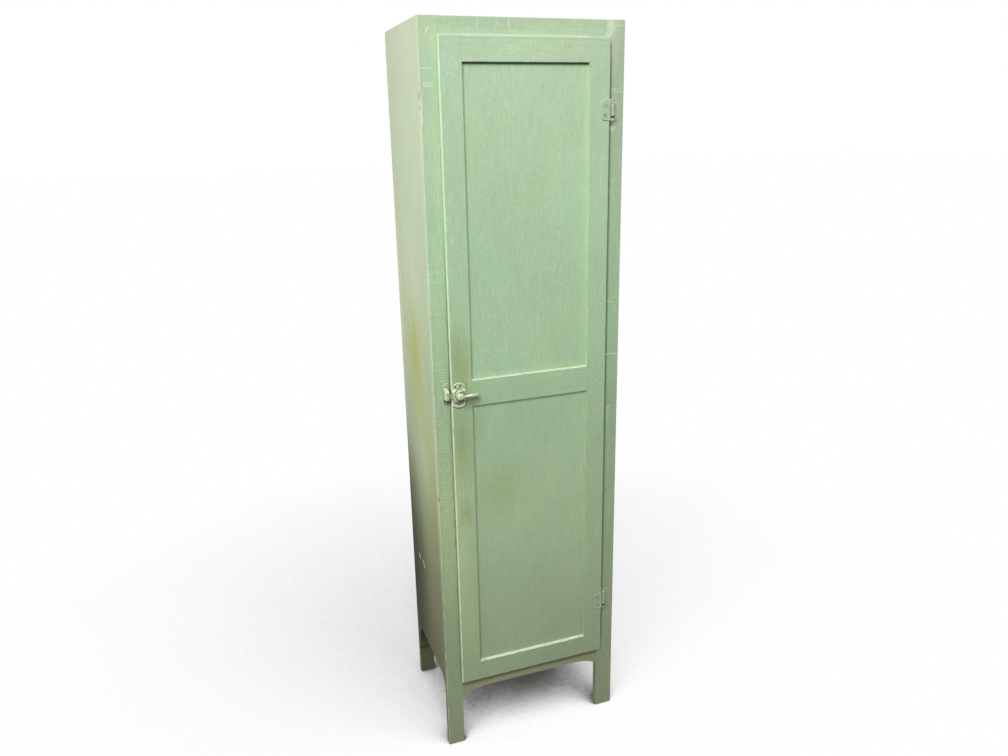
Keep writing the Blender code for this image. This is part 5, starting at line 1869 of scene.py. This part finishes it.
    def strike(self) -> None:
        """Build the strike: an eared foot under a sloped hood with the bolt's pocket."""
        low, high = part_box("latch_strike")
        foot_width = high.x - low.x
        foot_high = (high.z - low.z) / 2
        ear = foot_width / 2
        place = Vector((low.x, high.y, self.place.z))
        form = Form()
        outline = oval((ear, foot_high - ear), (ear, ear), 0, 180, 24)
        outline += oval((ear, ear - foot_high), (ear, ear), 180, 360, 24)
        form.plate(outline, place, -self.strike_foot, 0)
        front = low.y - high.y
        slope, crown = self.hood_head
        sunk, shoulder = self.hood_levels
        rows = [(self.hood_foot, -sunk), (self.hood_foot, -shoulder)]
        rows += [(slope, front + self.hood_edge), (crown, front)]
        rings = []
        for half, level in rows:
            bottom, top = self.hood_rise - half, self.hood_rise + half
            corners = ((0, bottom), (self.hood_width, bottom), (self.hood_width, top), (0, top))
            rings.append([place + Vector((a, level, b)) for a, b in corners])
        form.skin(rings)
        pocket = Form()
        pocket.box(
            place + Vector((self.pocket_start[0], front + self.pocket_start[1], -self.pocket_half)),
            place + Vector((self.pocket_end[0], front + self.pocket_end[1], self.pocket_half)),
        )
        solid = cast(form.mesh("strike"), self.grit, self.smoothing)
        mesh = cut_out(solid, pocket.mesh("pocket"))
        piece = add_piece("latch_cast_strike", mesh, self.keeper, "cabinet")
        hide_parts("latch_strike")

    def spring(self) -> None:
        """Build the coil spring."""
        low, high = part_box("bolt_spring")
        middle = (low + high) / 2
        length = high.x - low.x
        radius = self.wire_radius
        form = Form()
        steps = self.turns * self.steps_a_turn
        rings = []
        for index in range(steps + 1):
            angle = math.tau * self.turns * index / steps
            out = Vector((0, math.cos(angle), math.sin(angle)))
            x = low.x + radius + (length - 2 * radius) * index / steps
            heart = Vector((x, middle.y, middle.z)) + out * self.coil_radius
            ring = []
            for side in range(self.wire_sides):
                turn = math.tau * side / self.wire_sides
                ring.append(heart + out * math.cos(turn) * radius + Vector((math.sin(turn) * radius, 0, 0)))
            rings.append(ring)
        form.skin(rings)
        piece = add_piece("bolt_coil_spring", form.mesh("spring"), self.wire, "door")
        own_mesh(piece)
        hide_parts("bolt_spring")

    def build(self, frame: Frame) -> None:
        """Build the latch's pieces and dress its bolt and cam.

        Args:
            frame: The loaded model.
        """
        low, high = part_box("latch_case")
        self.place = Vector(((low.x + high.x) / 2, high.y + self.seat, (low.z + high.z) / 2))
        self.case()
        self.lever()
        self.strike()
        self.spring()
        Joinery(self.dull, "worn_iron", self.bolt_arris).plane(frame, ["latch_bolt", "latch_cam"])


# Studio


@dataclass(frozen=True)
class Lamp:
    """A soft square lamp.

    Attributes:
        name: Its name.
        place: Where it hangs.
        target: What it points at.
        size: The length of its side.
        power: Its power in watts.
        colour: Its colour.
    """

    name: str
    place: Triple
    target: Triple
    size: float
    power: float
    colour: Colour = (1.0, 0.99, 0.96)

    def build(self) -> None:
        """Hang the lamp."""
        data = bpy.data.lights.new(self.name, "AREA")
        data.shape = "SQUARE"
        data.size = self.size
        data.energy = self.power
        data.color = self.colour
        lamp = placed(self.name, data)
        lamp.location = self.place
        lamp.rotation_mode = "QUATERNION"
        lamp.rotation_quaternion = (Vector(self.target) - Vector(self.place)).to_track_quat("-Z", "Y")


@dataclass(frozen=True)
class Shadow:
    """How a part of the floor's painted shadow is worked out by ambient occlusion about the light's way,
    standing for the light that the cabinet covers.

    Attributes:
        light_way: Where the light comes from.
        distance: How far from a place the light may be covered.
        light: The shares of the light between which the result runs.
        result: The result where the light is least and where it is most.
    """

    light_way: Triple
    distance: float
    light: Pair
    result: Pair

    def cover(self, graph: Graph) -> Socket:
        """Work out how much light is painted as reaching a place on the floor.

        Args:
            graph: The floor's node tree.

        Returns:
            The result.
        """
        way = graph.node("ShaderNodeCombineXYZ", dict(enumerate(self.light_way))).outputs[0]
        inputs = {"Distance": self.distance, "Normal": way}
        near = graph.node("ShaderNodeAmbientOcclusion", inputs, samples=16)
        return graph.spread(near.outputs["AO"], *self.light, *self.result)


@dataclass
class Studio:
    """The camera, the pale floor and the soft lamps.

    Attributes:
        eye: Where the camera stands.
        turn: The camera's turn to the right, in radians.
        tilt: Its tilt, below zero where it looks down.
        lean: Its lean about its own axis.
        reach: The distance from lens to picture, in pixels of the photograph.
        middle: The pixel that the lens points at.
        sensor: The width of the camera's picture, in millimetres.
        front: The dark painted shadow on the floor.
        right: The weaker painted light that reaches under the cabinet's right side.
        halo: The wide grey painted shadow, which dims the floor's glow.
        paper: The brightness of the floor in the dark shadow.
        unseen: The brightness of the floor to light that no one sees.
        floor_size: Half the floor's width.
        floor_level: The floor's height, just below the feet.
        sky_colour: The colour of the even light.
        sky_power: The strength of the even light.
        lamps: The soft lamps.
    """

    eye: Triple = (-0.6395, -1.81585, 1.5700)
    turn: float = 0.33402
    tilt: float = -0.28364
    lean: float = -0.01886
    reach: float = 791.80
    middle: Pair = (505.13, 352.94)
    sensor: float = 36.0
    front: Shadow = Shadow((-0.14, -0.54, 0.81), 0.45, (0.453, 0.607), (0.0, 1.0))
    right: Shadow = Shadow((0.80, 0.0, 0.60), 0.45, (0.55, 0.85), (0.0, 0.75))
    halo: Shadow = Shadow((0.0, -0.95, 0.32), 1.60, (0.40, 0.64), (0.70, 1.0))
    paper: float = 0.19
    unseen: float = 0.30
    floor_size: float = 30.0
    floor_level: float = -0.0004
    sky_colour: Colour = (0.96, 0.98, 1.0)
    sky_power: float = 0.42
    lamps: tuple[Lamp, ...] = (
        Lamp("key", (-2.6, -4.6, 4.8), (0.0, 0.0, 1.0), 2.2, 272.0),
        Lamp("side", (-5.2, 0.6, 3.2), (0.0, 0.0, 1.1), 2.0, 92.0),
    )

    def camera(self) -> None:
        """Set up the camera at the photograph's place and angle."""
        data = bpy.data.cameras.new("camera")
        data.sensor_width = self.sensor
        data.lens = self.reach / PHOTO_WIDTH * self.sensor
        data.shift_x = 0.5 - self.middle[0] / PHOTO_WIDTH
        data.shift_y = (self.middle[1] - PHOTO_HEIGHT / 2) / PHOTO_WIDTH
        data.clip_start = 0.01
        data.clip_end = 200.0
        ahead = Vector((
            math.sin(self.turn) * math.cos(self.tilt),
            math.cos(self.turn) * math.cos(self.tilt),
            math.sin(self.tilt),
        ))
        right = Vector((math.cos(self.turn), -math.sin(self.turn), 0.0))
        above = right.cross(ahead)
        leaned = right * math.cos(self.lean) + above * math.sin(self.lean)
        raised = above * math.cos(self.lean) - right * math.sin(self.lean)
        camera = placed("camera", data)
        turn = Matrix((leaned, raised, -ahead)).transposed().to_4x4()
        camera.matrix_world = Matrix.Translation(self.eye) @ turn
        bpy.context.scene.camera = camera

    def shown(self, graph: Graph, unseen: Node, seen: Node) -> Socket:
        """Show one shader to the camera, in reflections and through clear pieces, and another elsewhere.

        Args:
            graph: The node tree.
            unseen: The shader elsewhere.
            seen: The shader that is seen.

        Returns:
            The mixed shader.
        """
        path = graph.node("ShaderNodeLightPath", {}).outputs
        glossy = graph.maths("MAXIMUM", path["Is Camera Ray"], path["Is Glossy Ray"])
        share = graph.maths("MAXIMUM", glossy, path["Is Transmission Ray"])
        inputs = {0: share, 1: unseen.outputs[0], 2: seen.outputs[0]}
        return graph.node("ShaderNodeMixShader", inputs).outputs[0]

    def floor(self) -> None:
        """Lay a plain pale floor that glows white to the camera, with a painted shadow: near the cabinet the
        camera sees grey paper under the lamps, and the glow dims in a wide halo.
        """
        form = Form()
        size = self.floor_size
        form.box(Vector((-size, -size, -0.02)), Vector((size, size, self.floor_level)))
        floor = placed("floor", form.mesh("floor"))
        material = bpy.data.materials.new("floor_paper")
        material.use_nodes = True
        graph = Graph(material.node_tree)
        light = graph.maths("MAXIMUM", self.front.cover(graph), self.right.cover(graph))
        paper = graph.node("ShaderNodeBsdfDiffuse", {"Color": (self.paper,) * 3})
        glow = graph.node("ShaderNodeEmission", {"Strength": self.halo.cover(graph)})
        inputs = {0: light, 1: paper.outputs[0], 2: glow.outputs[0]}
        seen = graph.node("ShaderNodeMixShader", inputs)
        dark = graph.node("ShaderNodeBsdfDiffuse", {"Color": (self.unseen,) * 3})
        surface = self.shown(graph, dark, seen)
        graph.fill(graph.tree.nodes["Material Output"].inputs["Surface"], surface)
        floor.data.materials.append(material)

    def sky(self) -> None:
        """Surround the scene with even light, white where it is seen."""
        world = bpy.data.worlds.new("studio")
        bpy.context.scene.world = world
        world.use_nodes = True
        graph = Graph(world.node_tree)
        light = graph.tree.nodes["Background"]
        graph.fill(light.inputs["Color"], self.sky_colour)
        graph.fill(light.inputs["Strength"], self.sky_power)
        white = graph.node("ShaderNodeBackground", {"Color": PLAIN, "Strength": 1.0})
        surface = self.shown(graph, light, white)
        graph.fill(graph.tree.nodes["World Output"].inputs["Surface"], surface)

    def build(self) -> None:
        """Set up the camera, the floor and the light."""
        self.camera()
        self.floor()
        self.sky()
        for lamp in self.lamps:
            lamp.build()
        bpy.context.scene.view_settings.view_transform = "Standard"
        log.info("studio: camera, floor, sky and two lamps")


def clear_scene() -> None:
    """Remove every object that the file opened with."""
    for thing in list(bpy.data.objects):
        bpy.data.objects.remove(thing, do_unlink=True)


def hinge_seams_and_light(level: float, tint: Colour, rim: Colour, rimmed: float, screws: Pair) -> tuple[Patch, ...]:
    """Return the patches on a hinge's paint: a painted highlight on its pale rim, painted shadows beside and
    under its leaf and barrel, its dark seams and its darkened screws.

    Args:
        level: The hinge's middle height.
        tint: What the paint on the frame is multiplied by.
        rim: The colour of the painted highlight on the rim to the left.
        rimmed: How strong the painted highlight on the rim is.
        screws: How dark the upper and the lower screw are.

    Returns:
        The patches.
    """
    dark = (0.035, 0.055, 0.030)
    return (
        Patch(0.2125, level, (0.0100, 0.0300), tint, 1.0, TIMES, 0.0, 0.1, 0.3),
        # Painted highlight: a pale ring round the door leaf.
        Patch(0.1845, level + 0.0004, (0.0176, 0.0214), rim, rimmed, OVER, 0.0, 0.2, 0.6, 0.09, 2.4),
        Patch(0.1985, level + 0.0205, (0.0060, 0.0050), (0.80, 0.82, 0.80), 1.0, TIMES, 0.0, 0.2, 0.6),
        # Painted shadows: under the door leaf, between the leaf and the barrel, and to the right of the
        # barrel.
        Patch(0.1770, level - 0.0220, (0.0130, 0.0022), dark, 0.55, OVER, -6.0, 0.2, 0.7),
        Patch(0.1930, level, (0.0022, 0.0240), dark, 0.75, OVER, 0.0, 0.1, 0.6),
        Patch(0.2032, level, (0.0022, 0.0190), dark, 0.80, OVER, 0.0, 0.1, 0.7),
        Patch(0.1784, level + 0.0117, (0.0030, 0.0030), dark, screws[0], OVER, 0.0, 0.3, 0.7),
        Patch(0.1784, level - 0.0100, (0.0034, 0.0036), dark, screws[1], OVER, 0.0, 0.3, 0.7),
        Patch(0.1985, level - 0.0148, (0.0090, 0.0034), (0.015, 0.030, 0.012), 1.0, OVER, 12.0, 0.2, 0.5),
        Patch(0.1985, level + 0.0145, (0.0065, 0.0010), dark, 0.6, OVER, 0.0, 0.2, 0.8),
        Patch(0.1985, level + 0.0195, (0.0065, 0.0008), dark, 0.6, OVER, 0.0, 0.2, 0.8),
    )


def build_hardware(frame: Frame) -> None:
    """Build the hinges, the latch and all the screws.

    Args:
        frame: The loaded model.
    """
    upper = PaintedIron(
        "hinge_paint_upper", shade(177, 200, 166), shade(186, 208, 176),
        dirt_and_shade=shade(80, 100, 74), crown=shade(214, 234, 206),
        wear_and_highlight=0.7, bare=0.0, lit=0.75, blotches=0.3, shift=1.0,
        patches_and_light=hinge_seams_and_light(1.5915, (1.06, 0.98, 1.00), shade(222, 242, 212), 0.70, (0.20, 0.60)),
    ).material()
    lower = PaintedIron(
        "hinge_paint_lower", shade(148, 167, 133), shade(157, 174, 140),
        dirt_and_shade=shade(62, 72, 48), crown=shade(206, 218, 186),
        wear_and_highlight=0.5, bare=0.0, lit=0.45, blotches=0.3, shift=4.0,
        patches_and_light=hinge_seams_and_light(0.347, (1.0, 0.96, 0.95), shade(172, 188, 156), 0.35, (0.80, 0.65)),
    ).material()
    # The iron's colour for dirt and painted shade, and its bright colour for rubbed arrises and painted
    # highlights.
    dirt_and_shade, bright = shade(52, 56, 42), shade(240, 252, 220)
    iron = PaintedIron(
        "latch_iron", shade(166, 184, 140), shade(206, 218, 180), dirt_and_shade, bright,
        wear_and_highlight=1.0, bare=0.1, lit=0.8, blotches=0.8, shift=2.0, patches_and_light=CASE_STAINS_AND_SHADE,
    ).material()
    # A paler copy of the latch iron, for the beads on the case's ends: a painted highlight on their rims.
    rim = PaintedIron(
        "latch_rim_highlight_iron", shade(196, 210, 168), shade(226, 238, 200), dirt_and_shade, bright,
        wear_and_highlight=0.8, bare=0.0, lit=0.8, blotches=0.7, shift=2.5,
    ).material()
    keeper = PaintedIron(
        "strike_iron", shade(164, 184, 144), shade(200, 216, 178), dirt_and_shade, bright,
        wear_and_highlight=0.6, bare=0.1, lit=0.45, blotches=0.7, shift=6.0, patches_and_light=STRIKE_STAINS_AND_SHADE,
    ).material()
    worn = PaintedIron(
        "lever_iron", shade(182, 194, 156), shade(220, 230, 198), dirt_and_shade, bright,
        wear_and_highlight=0.9, bare=0.1, lit=0.5, blotches=0.8, shift=3.0, patches_and_light=LEVER_STAINS_AND_LIGHT,
    ).material()
    dull = PaintedIron(
        "bolt_iron", shade(134, 148, 112), shade(152, 166, 128), dirt_and_shade, shade(176, 190, 150),
        wear_and_highlight=0.3, bare=0.1, lit=0.0, blotches=0.5,
    ).material()
    wire = SpringWire("spring_wire", (0.42, 0.41, 0.40), (0.22, 0.19, 0.16)).material()
    SurfaceHinge("upper", upper).build()
    SurfaceHinge("lower", lower).build()
    LeverLatch(iron, rim, keeper, worn, dull, wire).build(frame)
    screws = ScrewSet()
    screws.build(["hinge_door_screw_1", "hinge_door_screw_2"], upper, "door", 1)
    screws.build(["hinge_door_screw_3", "hinge_door_screw_4"], lower, "door", 2)
    screws.build(["hinge_frame_screw_1", "hinge_frame_screw_2"], upper, "cabinet", 3)
    screws.build(["hinge_frame_screw_3", "hinge_frame_screw_4"], lower, "cabinet", 4)
    screws.build(["latch_screw_1", "latch_screw_2"], iron, "door", 5)
    screws.build(["strike_screw_1", "strike_screw_2"], keeper, "cabinet", 6)


def main() -> None:
    """Build the dressed cabinet and its studio."""
    logging.basicConfig(level=logging.INFO, format="%(message)s")
    clear_scene()
    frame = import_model()
    stile = OilPaint("left_stile_paint", SAGE, PALE, flank=OLIVE)
    # The left stile gets a deeper painted shade on its faces that look down.
    left = replace(stile, lift=1.06, cracks=0.25, underside_shade=0.9, dust=0.75, patches_and_light=STILE_EDGE, shift=11.0)
    right = replace(stile, name="right_stile_paint", wear=0.4, patches_and_light=RIGHT_STAINS_AND_LIGHT, shift=13.0)
    rail = OilPaint("frame_rail_paint", SAGE, PALE, Grain.ACROSS, wear=0.45, shift=17.0)
    lips = RaisedPaint("raised_paint", shade(234, 247, 224), shade(208, 228, 196))
    fine = RaisedPaint("fine_crack_paint", shade(202, 224, 190), shade(180, 208, 170))
    FaceFrame(frame).build(left, right, rail, lips, fine)
    side = OilPaint(
        "case_paint", OLIVE, shade(220, 226, 204), face=Face.SIDE,
        wear=0.4, dust=0.93, patches_and_light=SIDE_STAINS_AND_SHADE, skin=-0.190, shift=23.0,
    )
    Case(frame).build(side, BareWood("shelf_wood", shade(186, 156, 116), shade(138, 104, 68)))
    # The door's rails and stiles get a painted highlight on their edges to the left and on top, and painted
    # shade on the back of their edges; the rails' paler pale colour also brightens the painted highlight on
    # their top ledges.
    door_rail = OilPaint(
        "door_rail_paint", SAGE, shade(246, 255, 236), Grain.ACROSS, wear=0.9, lit_edges=1.0, gap=0.5,
        lift=1.10, roughness=0.46, patches_and_light=LATCH_DIRT_AND_SHADOWS + DOOR_TOP, skin=-0.148, shift=31.0,
    )
    door_stile = replace(
        door_rail, name="door_stile_paint", pale=PALE, grain=Grain.UPRIGHT, lit_edges=0.7, gap=1.0,
        patches_and_light=LATCH_STAINS_AND_SHADE + LATCH_DIRT_AND_SHADOWS + DOOR_TOP,
    )
    door_panel = OilPaint(
        "door_panel_paint", SAGE, PALE, wear=0.0,
        lift=1.13, roughness=0.48, patches_and_light=PANEL_STAINS_AND_SHADE, skin=-0.150, shift=41.0,
    )
    chip = RaisedPaint("chip_paint", shade(252, 254, 248), shade(240, 248, 232))
    Door(frame).build(door_stile, door_rail, door_panel, chip)
    build_hardware(frame)
    Studio().build()


if __name__ == "__main__":
    main()
